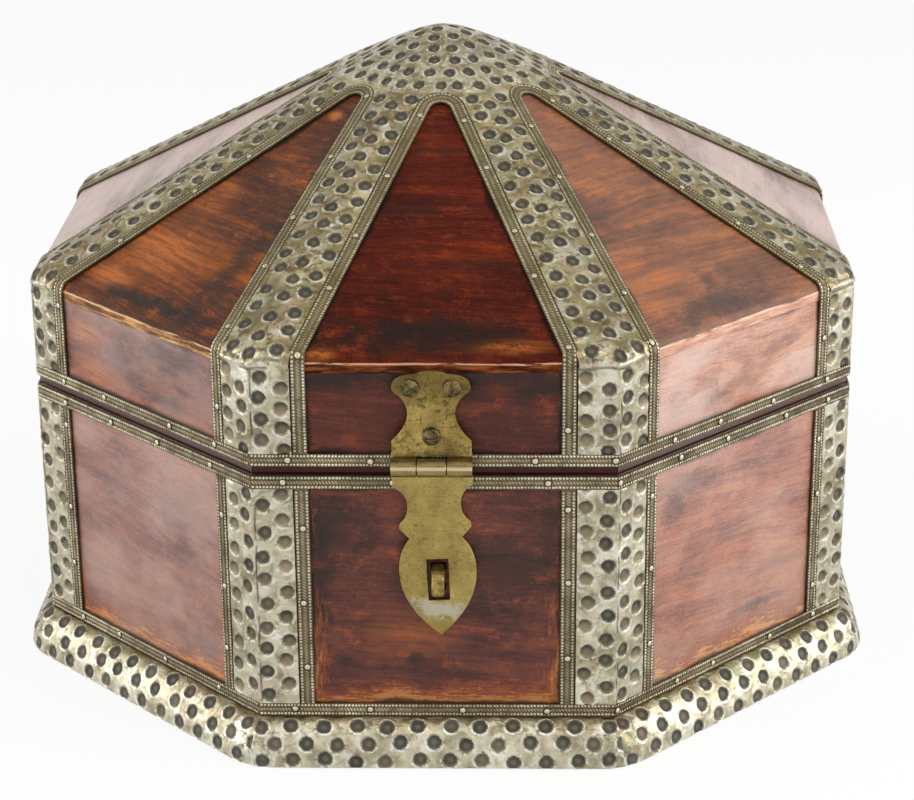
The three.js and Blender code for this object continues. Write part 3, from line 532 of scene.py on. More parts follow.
def around(across, apothem, height, face, softness):
    """Points of an octagon's level lines, with its corners rounded by a radius."""
    across, apothem, height = np.broadcast_arrays(across, apothem, height)
    limit = (apothem - softness) * corner_tan
    turn = np.clip((np.abs(across) - limit) / (softness * corner_tan), 0, 1) * half_corner
    bent = turn > 0
    x = np.where(bent, np.sign(across) * (limit + softness * np.sin(turn)), across)
    y = -np.where(bent, apothem - softness + softness * np.cos(turn), apothem)
    angle = 2 * half_corner * np.asarray(face)
    cos, sin = np.cos(angle), np.sin(angle)
    return np.stack([x * cos - y * sin, x * sin + y * cos, height + 0 * x], -1)


def crown_loss(apothem):
    return np.hypot(pitch_tan * apothem, crown_flattening) - pitch_tan * apothem


def crown_drop(apothem):
    drop = crown_loss(apothem) - crown_loss(crown_edge) * apothem / crown_edge
    return np.where(apothem < crown_edge, drop, 0)


def lid_section(distance, lift):
    """Apothem and height of the lid's skin, by the distance from the apex over the eave."""
    turn = np.maximum(0, arc_angle - (distance - slope_end) / eave_radius)
    on_slope = distance <= slope_end
    apothem = np.where(
        on_slope,
        distance * pitch_cos + lift * pitch_sin,
        arc_centre_apothem + (eave_radius + lift) * np.cos(turn),
    )
    height = np.where(
        on_slope,
        wood_apex - distance * pitch_sin + lift * pitch_cos,
        arc_centre_height + (eave_radius + lift) * np.sin(turn) - np.maximum(0, distance - eave_end),
    )
    return apothem, height


def distance_at(height):
    return eave_end + arc_centre_height - height


def panel_side(distance, inset):
    return side_slope * distance + side_start - inset * side_secant


def over_corner(left, across, apothem, height, corner, softness):
    """Points on the two faces that meet at a corner, the same on the left one as on the right."""
    left_points = around(across, apothem, height, corner - 1, softness)
    right_points = around(-across, apothem, height, corner, softness)
    return np.where(left[..., None], left_points, right_points)


# Meshes out of grids of points

same_place = 0.002 * MM
coarse_step = 4

def grid_faces(grid):
    corners = [grid[:-1, :-1], grid[:-1, 1:], grid[1:, 1:], grid[1:, :-1]]
    return np.stack(corners, -1).reshape(-1, 4)


def new_mesh(name, points, faces, marks=None):
    mesh = bpy.data.meshes.new(name)
    mesh.from_pydata(points.reshape(-1, 3).tolist(), [], faces)
    for mark, values in (marks or {}).items():
        spread = np.zeros(len(points.reshape(-1, 3)), np.float32)
        spread[: values.size] = values.ravel()
        mesh.attributes.new(mark, "FLOAT", "POINT").data.foreach_set("value", spread)
    return mesh


def closed_sheet(name, outer, inner, marks, ring=False, pole=False):
    """A sheet: its fine outer grid of points, an inner one of every few of them, and the edge
    between the two. A ring closes on itself, and a pole has one point in its first row."""
    rows, columns = outer.shape[:2]
    coarse = inner[::coarse_step, ::coarse_step]
    points = np.vstack([outer.reshape(-1, 3), coarse.reshape(-1, 3)]) * MM
    top = np.arange(rows * columns).reshape(rows, columns)
    under = rows * columns + np.arange(coarse.shape[0] * coarse.shape[1]).reshape(coarse.shape[:2])
    if ring:
        top, under = (np.hstack([grid, grid[:, :1]]) for grid in (top, under))
    borders = [] if pole else [(top[0], under[0])]
    if not ring:
        borders += [(top[:, -1], under[:, -1]), (top[::-1, 0], under[::-1, 0])]
    borders.append((top[-1, ::-1], under[-1, ::-1]))
    faces = [*grid_faces(top).tolist(), *grid_faces(under)[:, ::-1].tolist()]
    for fine, rough in borders:
        for i in range(len(rough) - 1):
            edge = fine[i * coarse_step:(i + 1) * coarse_step + 1][::-1].tolist()
            faces.append([int(rough[i]), int(rough[i + 1]), *edge])
    mesh = new_mesh(name, points, faces, marks)
    if pole:
        merge(mesh)
    return mesh


def merge(mesh):
    """Joins the points of a mesh that are one."""
    loose = bmesh.new()
    loose.from_mesh(mesh)
    bmesh.ops.remove_doubles(loose, verts=loose.verts, dist=same_place)
    loose.to_mesh(mesh)
    loose.free()


def read(mesh, mark=None):
    if mark:
        values = np.empty(len(mesh.vertices), np.float32)
        mesh.attributes[mark].data.foreach_get("value", values)
        return values
    places = np.empty(len(mesh.vertices) * 3)
    mesh.vertices.foreach_get("co", places)
    return places.reshape(-1, 3)


def run(tree, mesh, **sizes):
    """What a tree of nodes makes out of a flat mesh, as a plain mesh."""
    blank = bpy.data.objects.new("blank", mesh)
    scene.collection.objects.link(blank)
    modifier = blank.modifiers.new("work", "NODES")
    modifier.node_group = tree
    for item in tree.interface.items_tree:
        if item.in_out == "INPUT" and item.name in sizes:
            modifier[item.identifier] = sizes[item.name]
    made = bpy.data.meshes.new_from_object(blank.evaluated_get(bpy.context.evaluated_depsgraph_get()))
    bpy.data.objects.remove(blank)
    return made


def joined_strips(name, strips):
    """One mesh out of several strips."""
    faces, first = [], 0
    for strip in strips:
        faces += [[first + i for i in polygon.vertices] for polygon in strip.polygons]
        first += len(strip.vertices)
    points = np.concatenate([read(strip) for strip in strips])
    relief = np.concatenate([read(strip, "relief") for strip in strips])
    return new_mesh(name, points, faces, {"relief": relief})


def face_outwards(mesh):
    """Turns a closed mesh whose faces point inwards."""
    mesh.calc_loop_triangles()
    corners = np.empty(len(mesh.loop_triangles) * 3, np.int32)
    mesh.loop_triangles.foreach_get("vertices", corners)
    a, b, c = read(mesh)[corners.reshape(-1, 3)].transpose(1, 0, 2)
    if np.einsum("ij,ij->i", a, np.cross(b, c)).sum() < 0:
        mesh.flip_normals()


def stand(mesh, material, body, nodes, smooth=60):
    """A finished piece, with the body it rides on and the nodes it stands for."""
    face_outwards(mesh)
    mesh.materials.clear()
    mesh.materials.append(material)
    mesh.shade_smooth()
    mesh.set_sharp_from_angle(angle=math.radians(smooth))
    piece = bpy.data.objects.new(mesh.name, mesh)
    scene.collection.objects.link(piece)
    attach(piece, body)
    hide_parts(*nodes)


# Trees of geometry nodes


def punched_tree(name, lay_out, **sizes):
    """Dents a flat sheet with round punches. The points to punch are laid out by a function."""
    make = Making(name, Radius=2.6, Depth=0.62, Jitter=0.6, Unevenness=0.26, Seed=1, **sizes)
    given = make.given
    points = lay_out(make)
    jitter = make.vector(given["Jitter"], given["Jitter"], 0.0)
    back = make.vector(0 - given["Jitter"], 0 - given["Jitter"], 0.0)
    points = make.moved(points, Offset=make.random(back, jitter, given["Seed"], make.index))
    closest = make.node("GeometryNodeProximity", {"target_element": "POINTS"}, {0: points})
    distance = Value(make, closest.socket.node.outputs["Distance"])
    nearest = make.node("GeometryNodeSampleNearest", {"domain": "POINT"}, {"Geometry": points})
    wobble = make.noise(make.position, 0.4, 2) - 0.5
    share = (distance + wobble * 0.8) / given["Radius"]
    hollow = make.between(share, 1.02, 0.55)
    core = make.between(share, 0.62, 0.2)
    lip = make.between(share, 0.92, 1.06) * make.between(share, 1.36, 1.1)
    rise = make.noise(make.position, 0.13, 3)
    ripple = make.noise(make.position, 0.35, 2) - 0.5
    height = (rise - 0.5) * given["Unevenness"] * 2 + ripple * 0.16 + lip * 0.16
    height = height - (hollow - core * 0.3) * given["Depth"]
    sheet = make.moved(given["Geometry"], Offset=make.vector(0.0, 0.0, height))
    tone = make.parts(make.random((0, 0, 0), (1, 1, 1), 77, nearest))[0]
    own = make.parts(make.position)
    middle = make.parts(closest)
    marks = {
        "punch": make.between(share, 1.0, 0.88), "core": core, "lip": lip, "tone": tone, "rise": rise,
        "aside": (own[0] - middle[0]) / given["Radius"],
        "ahead": (own[1] - middle[1]) / given["Radius"],
    }
    for mark, value in marks.items():
        sheet = make.marked(sheet, mark, value)
    return make.finished(sheet, hammered_sheet)


def rows_of_punches(make):
    """Punches in columns, every other one half a pitch on, that spread from start to end."""
    given = make.given
    columns = given["Columns"]
    column = make.maths("MODULO", make.index, columns)
    row = make.maths("FLOOR", make.index / columns)
    share = row / given["Rows"]
    spread = given["Spread"] + (given["End_spread"] - given["Spread"]) * share
    across = (column - (columns - 1) * 0.5) * spread
    along = given["Start"] + (row + make.maths("MODULO", column, 2.0) * 0.5) * given["Pitch"]
    line = make.line(columns * given["Rows"], (0, 0, 0), (0, 0, 0))
    return make.moved(line, Position=make.vector(across, along, 0.0))


def rings_of_punches(make):
    """Punches in rings round the apex, up to the edge of the crown."""
    rings = []
    first_radius, ring_pitch, punch_pitch, turn = 3.6, 6.6, 7.3, 0.9
    for ring in range(6):
        radius = first_radius + ring * ring_pitch
        count = round(2 * math.pi * radius / punch_pitch)
        circle = make.node("GeometryNodeMeshCircle", {}, {"Vertices": count, "Radius": radius})
        turned = {"Geometry": circle, "Rotation": (0, 0, turn * ring)}
        rings.append(make.node("GeometryNodeTransform", {}, turned))
    return make.joined(rings)


def strip_tree():
    """A flat embossed strip: two rows of beads, a twist between them, and brads, each ringed by a wider,
    flatter dark dome that is a painted shadow.
    """
    make = Making(
        "embossed_strip_making", Length=100.0, Width=4.2, Thickness=0.55, Pitch=1.08, Seed=1,
        Brads=25.0, First=9.0,
    )
    given = make.given
    length, width, thickness, pitch = (given[n] for n in ("Length", "Width", "Thickness", "Pitch"))
    size = make.vector(width, length, thickness)
    sections = make.maths("FLOOR", length / 1.6) + 2
    bar = make.node("GeometryNodeMeshCube", {}, {0: size, 1: 3, 2: sections, 3: 2})
    middle = make.vector(0.0, length * 0.5, thickness * 0.5)
    parts = [make.node("GeometryNodeTransform", {}, {"Geometry": bar, "Translation": middle})]

    count = make.maths("FLOOR", length / pitch)
    bead = make.node("GeometryNodeMeshIcoSphere", {}, {"Radius": 0.47, "Subdivisions": 1})
    bead = make.marked(bead, "relief", 1.0)
    for side in (-1, 1):
        start = make.vector((width * 0.5 - 0.62) * side, pitch * 0.5, thickness)
        row = make.line(count, start, make.vector(0.0, pitch, 0.0))
        row = make.moved(row, Offset=make.random((-0.05, -0.1, -0.08), (0.05, 0.1, 0.05), given["Seed"]))
        parts.append(make.scattered(row, bead, Scale=(0.95, 1.0, 0.85)))

    curl = make.node("GeometryNodeMeshIcoSphere", {}, {"Radius": 1.0, "Subdivisions": 1})
    curl = make.marked(curl, "relief", 0.6)
    twist_pitch = pitch * 0.92
    turns = make.maths("FLOOR", length / twist_pitch)
    start = make.vector(0.0, twist_pitch * 0.5, thickness)
    row = make.line(turns, start, make.vector(0.0, twist_pitch, 0.0))
    parts.append(make.scattered(row, curl, Rotation=(0, 0, -0.75), Scale=(0.9, 0.33, 0.34)))

    start = make.vector(0.0, given["First"], thickness)
    nails = make.maths("FLOOR", (length - given["First"] - 3) / given["Brads"]) + 1
    row = make.line(nails, start, make.vector(0.0, given["Brads"], 0.0))
    shift = make.random((-0.4, -5, 0.05), (0.4, 5, 0.2), given["Seed"])
    row = make.moved(row, Offset=shift)
    # The second, wider and flatter dome under each brad is a painted shadow ring.
    for relief, radius, flatness in ((2.0, 1.05, 0.5), (-1.0, 1.4, 0.26)):
        sizes = {"Segments": 12, "Rings": 8, "Radius": radius}
        dome = make.marked(make.node("GeometryNodeMeshUVSphere", {}, sizes), "relief", relief)
        parts.append(make.scattered(row, dome, Scale=(1, 1, flatness)))
    return make.finished(make.joined(parts), embossed_strip)


# Punched sheets


def punched(tree, flat, **sizes):
    """Heights and marks that a punched tree gives a grid of flat points."""
    rows, columns = flat.shape[:2]
    points = np.concatenate([flat, np.zeros((rows, columns, 1))], -1)
    faces = grid_faces(np.arange(rows * columns).reshape(rows, columns)).tolist()
    blank = new_mesh("blank", points, faces)
    made = run(tree, blank, **sizes)
    names = ("punch", "core", "lip", "tone", "rise", "aside", "ahead")
    marks = {name: read(made, name).reshape(rows, columns) for name in names}
    return read(made)[:, 2].reshape(rows, columns), marks


def waver(along, seed, size=1.0):
    """A line that wanders smoothly, the same each time."""
    chance = np.random.default_rng(seed)
    waves = zip(chance.uniform(0.08, 0.55, 5), chance.uniform(0, 6.3, 5), chance.uniform(0.4, 1, 5))
    return size * sum(swing * np.sin(rate * along + start) for rate, start, swing in waves) / 3


def hump(distance, width):
    return np.exp(-(distance / width) ** 2)


def crumple(across, along, seed, size):
    """A sheet's creases: waves that cross each other at random."""
    chance = np.random.default_rng(seed)
    total = 0 * across
    for _ in range(7):
        turn, rate, start = chance.uniform(0, 3.14), chance.uniform(0.5, 1.9), chance.uniform(0, 6.3)
        wave = np.sin(rate * (across * math.cos(turn) + along * math.sin(turn)) + start)
        total = total + np.sign(wave) * np.abs(wave) ** 1.5
    return size * total / 5


sheet_face = sheet_outer + 0.05
sheet_back = 0.12
plinth_back = -0.84
least_lift = 0.18
strip_gap = 0.08
fold_distance = slope_end + 3.8


def spare(marks):
    """A second random share for each punch, from its first."""
    return (marks["tone"] * 7.31) % 1


def finish_marks(marks, grime, patina, shade, crack):
    """Adds a sheet's dirt, patina, painted shade and shaded creases to its marks, and drops those that only
    placed it.
    """
    shape = marks["punch"].shape
    for name, values in dict(grime=grime, patina=patina, shade=shade, crack=crack).items():
        marks[name] = np.broadcast_to(values, shape).astype(np.float32)
    del marks["aside"], marks["ahead"]
    return marks


def body_corner_strap(corner):
    """The sheet folded round a corner of the body: two columns of punches on each side."""
    softness = 3.0
    half_width = corner_half_width - softness * corner_tan - panel_half_width + softness * half_corner
    half_width = half_width - strip_gap
    low, high = foot_strip_top + strip_gap, body_rim_strip_bottom - strip_gap
    along = np.linspace(low, high, coarse_step * 37 + 1)
    share = np.linspace(-1, 1, coarse_step * 13 + 1)
    u, z = np.meshgrid(half_width * share * np.abs(share) ** 0.25, along)
    height, marks = punched(
        rows_tree, np.stack([u, z], -1), Columns=4, Rows=10, Spread=6.4, End_spread=6.5,
        Start=low + 2.5, Pitch=8.3, Seed=corner, Jitter=0.75, Radius=2.5,
    )
    fold = u - waver(z, corner, 0.35)
    height = height + 0.3 * hump(fold, 0.45) + 0.1 * crumple(u, z, corner, 1.0) * hump(u, 3)
    # A split beside the fold, dented, with painted shade in it.
    split = hump(fold - 0.6, 0.24) * (waver(z, 30 + corner) > -0.25)
    lift = np.maximum(sheet_face + height - 0.3 * split, least_lift)
    near_fold = hump(np.abs(u) - 3.0, 2.8)
    finish_marks(marks, 0.3 + 0.6 * near_fold + 0.3 * spare(marks), 0.2, marks["ahead"], split)

    def place(lift):
        arc = softness * half_corner
        reach = np.abs(u) - arc
        apothem = wood_apothem + lift
        limit = (apothem - softness) * corner_tan
        across = np.where(reach > 0, limit - reach, limit + (-reach / arc) * softness * corner_tan)
        return over_corner(u < 0, across, apothem, z, corner, softness)

    mesh = closed_sheet(f"corner_sheet_{corner}", place(lift), place(sheet_back + 0 * u), marks)
    stand(mesh, hammered_sheet, "base", [f"corner_strap_{corner}"])


def ridge_rows():
    """Distances of a ridge strap's rows, and the across of its edge in each."""
    angles = np.linspace(0, tangent_angle, coarse_step * 4 + 1)
    top = panel_top_centre - panel_top_radius * np.cos(angles)
    top_edge = panel_top_radius * np.sin(angles)
    lowest = distance_at(lid_rim_strip_top + strip_gap)
    count = coarse_step * round((lowest - top[-1]) / 2.1)
    rest = np.linspace(top[-1], lowest, count + 1)[1:]
    rest_edge = np.where(rest < slope_end, panel_side(rest, 0), panel_half_width)
    return np.concatenate([top, rest]), np.concatenate([top_edge, rest_edge]) + strip_gap


def lid_ridge_strap(corner):
    """The sheet that runs down a ridge and over the eave: three columns of punches that draw
    together towards the crown, and four on the upright part."""
    distances, edges = ridge_rows()
    softness = 5.0
    share = np.linspace(-1, 1, coarse_step * 13 + 1)
    d = np.broadcast_to(distances[:, None], (len(distances), len(share)))
    level = np.where(d <= slope_end, d * pitch_cos, wood_apothem)
    wing = level * corner_tan - edges[:, None]
    w = np.abs(share)[None, :] ** 1.25 * wing
    side = np.where(share < 0, -1.0, 1.0)[None, :]
    ridge_cos, ridge_sin = math.cos(ridge_angle), math.sin(ridge_angle)
    slope_flat = np.stack([side * w * ridge_cos, d / ridge_cos - w * ridge_sin], -1)
    upright_flat = np.stack([side * w, d], -1)
    slope_height, slope_marks = punched(
        rows_tree, slope_flat, Columns=3, Rows=15, Spread=5.6, End_spread=7.7, Start=45.2, Pitch=8.3,
        Seed=20 + corner, Jitter=0.75, Radius=2.4,
    )
    upright_height, upright_marks = punched(
        rows_tree, upright_flat, Columns=4, Rows=4, Spread=7.0, End_spread=7.0,
        Start=fold_distance + 4.2, Pitch=6.9, Seed=40 + corner, Jitter=0.6, Radius=2.5,
    )
    line = side * w
    eave = d - fold_distance - waver(line, 60 + corner, 0.5)
    above = eave < -0.2
    height = np.where(above, slope_height, upright_height)
    marks = {m: np.where(above, slope_marks[m], upright_marks[m]) for m in slope_marks}
    height = height * (1 - hump(d - panel_top_distance, 1.2))
    height = height * (1 - 0.8 * hump(eave, 0.8)) + 0.45 * hump(eave, 0.5)
    height = height + crumple(line, d, corner, 0.3) * hump(eave, 3.2)
    # Dark lines beside the fold at the eave: painted shade in the creases, with some dirt.
    crack = 0.9 * hump(eave - 1.3, 0.4) * (waver(line, 80 + corner) > -0.2)
    crack = crack + 0.8 * hump(eave + 1.1, 0.35) * (waver(line, 81 + corner) > 0.05)
    for mark in ("punch", "core", "lip"):
        marks[mark] = marks[mark] * (1 - hump(eave, 0.6))
    # The fold at the eave takes the rims' marks, which gives it a painted highlight line.
    marks["lip"] = np.maximum(marks["lip"], hump(eave, 0.5))
    fold = line - waver(d, corner, 0.4)
    split = hump(fold - 0.6, 0.24) * (waver(d, 30 + corner) > -0.1) * (eave > 1)
    height = height + 0.3 * hump(fold, 0.45) * (eave > 0) - 0.3 * split - 0.25 * crack
    lift = np.maximum(sheet_face + height, least_lift)
    near_fold = hump(np.abs(line) - 3.0, 2.8)
    finish_marks(
        marks, np.where(above, 1.1, 0.3 + 0.6 * near_fold + 0.3 * spare(marks)),
        np.where(above, 1.0, 0.25), -marks["ahead"], np.maximum(crack, split),
    )

    def place(lift):
        apothem, z = lid_section(d, lift)
        return over_corner(side < 0, apothem * corner_tan - w, apothem, z, corner, softness)

    mesh = closed_sheet(f"ridge_sheet_{corner}", place(lift), place(sheet_back + 0 * d), marks)
    stand(mesh, hammered_sheet, "lid", [f"ridge_strap_{corner}"])


def crown():
    """The sheet over the top: an octagon at its edge, round at its apex."""
    rows, columns = coarse_step * 20 + 1, coarse_step * face_count * 13
    level = np.linspace(0, 1, rows)[:, None]
    angle = np.arange(columns)[None, :] * 2 * math.pi / columns
    reach = level * (panel_top_distance + 0.15)
    flat = np.stack([reach * np.sin(angle), -reach * np.cos(angle)], -1)
    height, marks = punched(rings_tree, flat, Seed=5, Jitter=0.6, Radius=2.35)
    height = height * (1 - hump(reach - panel_top_distance, 1.2))
    # The uphill side of each crown punch takes the painted shade.
    uphill = marks["ahead"] * np.cos(angle) - marks["aside"] * np.sin(angle)
    finish_marks(marks, 1.1, 0.72, uphill, 0.0)
    local = np.abs((angle + half_corner) % (2 * half_corner) - half_corner)

    def place(lift):
        apothem = reach * pitch_cos
        share = np.clip(apothem / crown_edge, 0, 1)
        square = share * share * (3 - 2 * share)
        radius = apothem * (crown_roundness * (1 - square) + square / np.cos(local))
        z = wood_apex + lift / pitch_cos - apothem * pitch_tan - crown_drop(apothem)
        out = lift * pitch_sin * share
        return np.stack([(radius + out) * np.sin(angle), -(radius + out) * np.cos(angle), z], -1)

    lift = np.clip(sheet_face - 0.15 + height, least_lift, sheet_outer - 0.01)
    hidden = place(sheet_back + 0 * lift)
    mesh = closed_sheet("crown_hammered", place(lift), hidden, marks, ring=True, pole=True)
    stand(mesh, hammered_sheet, "lid", ["crown_sheet"])


def plinth_section():
    """The plinth's outline from its top to its foot, with the way out of it."""
    t = np.linspace(0, 1, coarse_step * 10 + 1)
    weights = [(1 - t) ** 3, 3 * t * (1 - t) ** 2, 3 * t * t * (1 - t), t ** 3]
    curve = sum(w[:, None] * p for w, p in zip(weights, plinth_curve))
    tangent = np.gradient(curve, axis=0)
    tangent /= np.linalg.norm(tangent, axis=1)[:, None]
    return curve, np.stack([-tangent[:, 1], tangent[:, 0]], -1)


def plinth_softness(heights):
    """How round the plinth's corners are: sharp under the strip and worn round at the foot."""
    drop = np.clip((plinth_curve[0, 1] - heights) / 12, 0, 1)
    return 4 + 18 * drop


def moulding():
    """The wooden moulding under the plinth's sheet."""
    curve, normal = plinth_section()
    inner = wood_apothem + clearance
    skin = curve - normal * sheet_face
    skin = skin[skin[:, 0] > inner + clearance]
    outline = np.vstack([[(inner, skin[0, 1])], skin, [(skin[-1, 0], 0), (inner, 0)]])
    softness = np.where(outline[:, :1] > inner, plinth_softness(outline[:, 1:]), 0.5)
    columns = 24
    share = (np.arange(columns) + 0.5) / columns * 2 - 1
    apothem, z = outline[:, :1], outline[:, 1:]
    across = share[None, :] * apothem * corner_tan
    grid = np.concatenate([around(across, apothem, z, face, softness) for face in range(face_count)], 1)
    numbers = np.arange(grid.shape[0] * grid.shape[1]).reshape(grid.shape[:2])
    numbers = np.pad(numbers, ((0, 1), (0, 1)), mode="wrap")
    mesh = new_mesh("moulding_wood", grid * MM, grid_faces(numbers).tolist())
    stand(mesh, inner_wood, "base", ["plinth_moulding"])


def plinth():
    """The sheet over the plinth: three rows of punches along every face."""
    curve, normal = plinth_section()
    run_length = np.concatenate([[0], np.cumsum(np.linalg.norm(np.diff(curve, axis=0), axis=1))])
    columns = coarse_step * 56
    share = (np.arange(columns) + 0.5) / columns * 2 - 1
    softness = plinth_softness(curve[:, 1:])
    faces = []
    for face in range(face_count):
        across = share[None, :] * curve[:, :1] * corner_tan
        along = run_length[:, None] + 0 * across
        flat = np.stack([along, across], -1)
        height, marks = punched(
            rows_tree, flat - (run_length[-1] * 0.54, 0), Columns=3, Rows=12, Spread=5.8, End_spread=5.8,
            Start=-57.0, Pitch=10.2, Seed=90 + face, Jitter=0.75, Radius=2.6,
        )
        edge = curve[:, :1] * corner_tan - np.abs(across)
        near = hump(edge, 9)
        height = height * (1 - 0.5 * near) + crumple(along, across, 120 + face, 0.4) * near
        height = height + crumple(along, across, 140 + face, 0.12)
        # Dark lines along the creases near the plinth's corners: painted shade, with some dirt.
        crack = hump(crumple(along, across, 160 + face, 1.0), 0.05) * near
        lift = np.clip(height - 0.16, -0.8, 0.0)
        # Browner along the plinth's top, just under the foot strip.
        upper = hump(along - run_length[-1] * 0.1, 4)
        finish_marks(marks, 0.95 + 0.2 * spare(marks), 0.05 + 0.8 * upper, -marks["aside"], crack)

        def place(lift):
            apothem = curve[:, :1] + normal[:, :1] * lift
            z = curve[:, 1:] + normal[:, 1:] * lift
            return around(share[None, :] * apothem * corner_tan, apothem, z, face, softness)

        faces.append((place(lift), place(plinth_back + 0 * lift), marks))
    outer, inner = (np.concatenate([face[i] for face in faces], 1) for i in (0, 1))
    marks = {mark: np.concatenate([face[2][mark] for face in faces], 1) for mark in faces[0][2]}
    mesh = closed_sheet("plinth_hammered", outer, inner, marks, ring=True)
    stand(mesh, hammered_sheet, "base", ["plinth_sheet"])


# Embossed strips

strip_base = 0.35
strip_softness = 1.6


def strip(length, place, width, seed, **sizes):
    """One strip, made flat and laid on the box by a function of (across, along, height)."""
    blank = bpy.data.meshes.new("blank")
    made = run(strips_tree, blank, Length=length, Width=width, Seed=seed, **sizes)
    flat = read(made)
    points = place(flat[:, 0], flat[:, 1], flat[:, 2] + strip_base) * MM
    made.vertices.foreach_set("co", points.ravel())
    return made


def ring_strip(name, bottom, height, body, node, seed):
    """A strip right round the box, level."""
    side = 2 * corner_half_width

    def place(across, along, lift):
        face = np.clip(np.floor(along / side), 0, face_count - 1)
        apothem = wood_apothem + lift
        reach = (along - (face + 0.5) * side) * apothem / wood_apothem
        return around(reach, apothem, bottom + height / 2 + across, face, strip_softness)

    mesh = joined_strips(name, [strip(side * face_count, place, height, seed, First=14.0)])
    stand(mesh, embossed_strip, body, [node], smooth=40)


def body_upright_strips():
    made = []
    length = body_rim_strip_bottom - foot_strip_top
    for face in range(face_count):
        for side in (-1, 1):
            middle = side * (panel_half_width - strip_width / 2)

            def place(across, along, lift):
                apothem, height = wood_apothem + lift, foot_strip_top + along
                return around(middle + across, apothem, height, face, strip_softness)

            made.append(strip(length, place, strip_width, 10 + 2 * face + side, First=14.0))
    mesh = joined_strips("upright_strips", made)
    stand(mesh, embossed_strip, "base", ["body_edge_strips"], smooth=40)


def lid_panel_strips():
    """A strip round every panel of the lid: up one side, round the top and down the other."""
    inset = strip_width / 2
    radius = panel_top_radius - inset
    spacing = 0.25
    lowest = distance_at(lid_rim_strip_top)
    tangent = panel_top_centre - radius * math.cos(tangent_angle)
    angles = np.linspace(tangent_angle, 0, 40)
    upright = [(panel_half_width - inset, d) for d in np.arange(lowest, slope_end, -spacing)]
    slope = [(panel_side(d, inset), d) for d in np.arange(slope_end, tangent, -spacing)]
    arch = [(radius * math.sin(a), panel_top_centre - radius * math.cos(a)) for a in angles]
    half = np.array(upright + slope + arch)
    path = np.vstack([half, (half * (-1, 1))[-2::-1]])
    along_path = np.concatenate([[0], np.cumsum(np.linalg.norm(np.diff(path, axis=0), axis=1))])
    steps = np.linspace(0, along_path[-1], round(along_path[-1] / spacing))
    path = np.stack([np.interp(steps, along_path, path[:, i]) for i in (0, 1)], -1)
    heading = np.gradient(path, axis=0)
    reach = 4
    smoothing = np.ones(2 * reach + 1) / (2 * reach + 1)
    padded = np.pad(heading, ((reach, reach), (0, 0)), mode="edge")
    heading = np.stack([np.convolve(padded[:, i], smoothing, "valid") for i in (0, 1)], -1)
    heading /= np.linalg.norm(heading, axis=1)[:, None]
    made = []
    for face in range(face_count):

        def place(across, along, lift):
            x, d, hx, hd = (np.interp(along, steps, line) for line in (*path.T, *heading.T))
            apothem, height = lid_section(d + hx * across, lift)
            return around(x - hd * across, apothem, height, face, strip_softness)

        made.append(strip(steps[-1], place, strip_width, 50 + face, First=9.0, Brads=27.0))
    mesh = joined_strips("panel_strips", made)
    stand(mesh, embossed_strip, "lid", ["lid_edge_strips"], smooth=40)


# Copies of solids with eased edges

flat_angle = math.radians(0.5)
sharp_angle = math.radians(30)


def eased(node, material, width, body, segments=2, glued_top=None):
    """A node's mesh with its points merged and its sharp edges rounded, in place of it. A glued
    top is raised to close the joint above it."""
    mesh = frame["nodes"][node].data.copy()
    mesh.name = f"{node}_eased"
    loose = bmesh.new()
    loose.from_mesh(mesh)
    bmesh.ops.remove_doubles(loose, verts=loose.verts, dist=same_place)
    bmesh.ops.dissolve_limit(loose, angle_limit=flat_angle, verts=loose.verts, edges=loose.edges)
    for vert in loose.verts:
        if glued_top and vert.co.z > (glued_top - 0.05) * MM:
            vert.co.z += joint_gap * MM
    if width:
        edges = [e for e in loose.edges if e.is_manifold and e.calc_face_angle() > sharp_angle]
        bmesh.ops.bevel(
            loose, geom=edges, offset=width * MM, segments=segments, affect="EDGES", profile=0.5,
            clamp_overlap=True,
        )
    loose.to_mesh(mesh)
    loose.free()
    stand(mesh, material, body, [node], smooth=35)


# Materials

body_edges = (panel_half_width - strip_width, foot_strip_top, body_rim_strip_bottom)
lid_side_edges = (panel_half_width - strip_width, lid_rim_strip_top, lid_side_top + 1)
roof_edges = (None, -eave_end - 2.4, -panel_top_distance - strip_width)
# Painted shade at the top of the walls, in the seam, and over the lid's dark red lower edge.
body_seam_shade = (body_rim_strip_top - 0.4, body_rim_strip_top, "1c1410")
lid_seam_shade = (lid_rim_strip_bottom + 0.3, lid_rim_strip_bottom - 0.3, "3c130c")
orange = "c06c38"
gold = "b87c44"
mauve = "b39b91"
pale = "d2bab0"

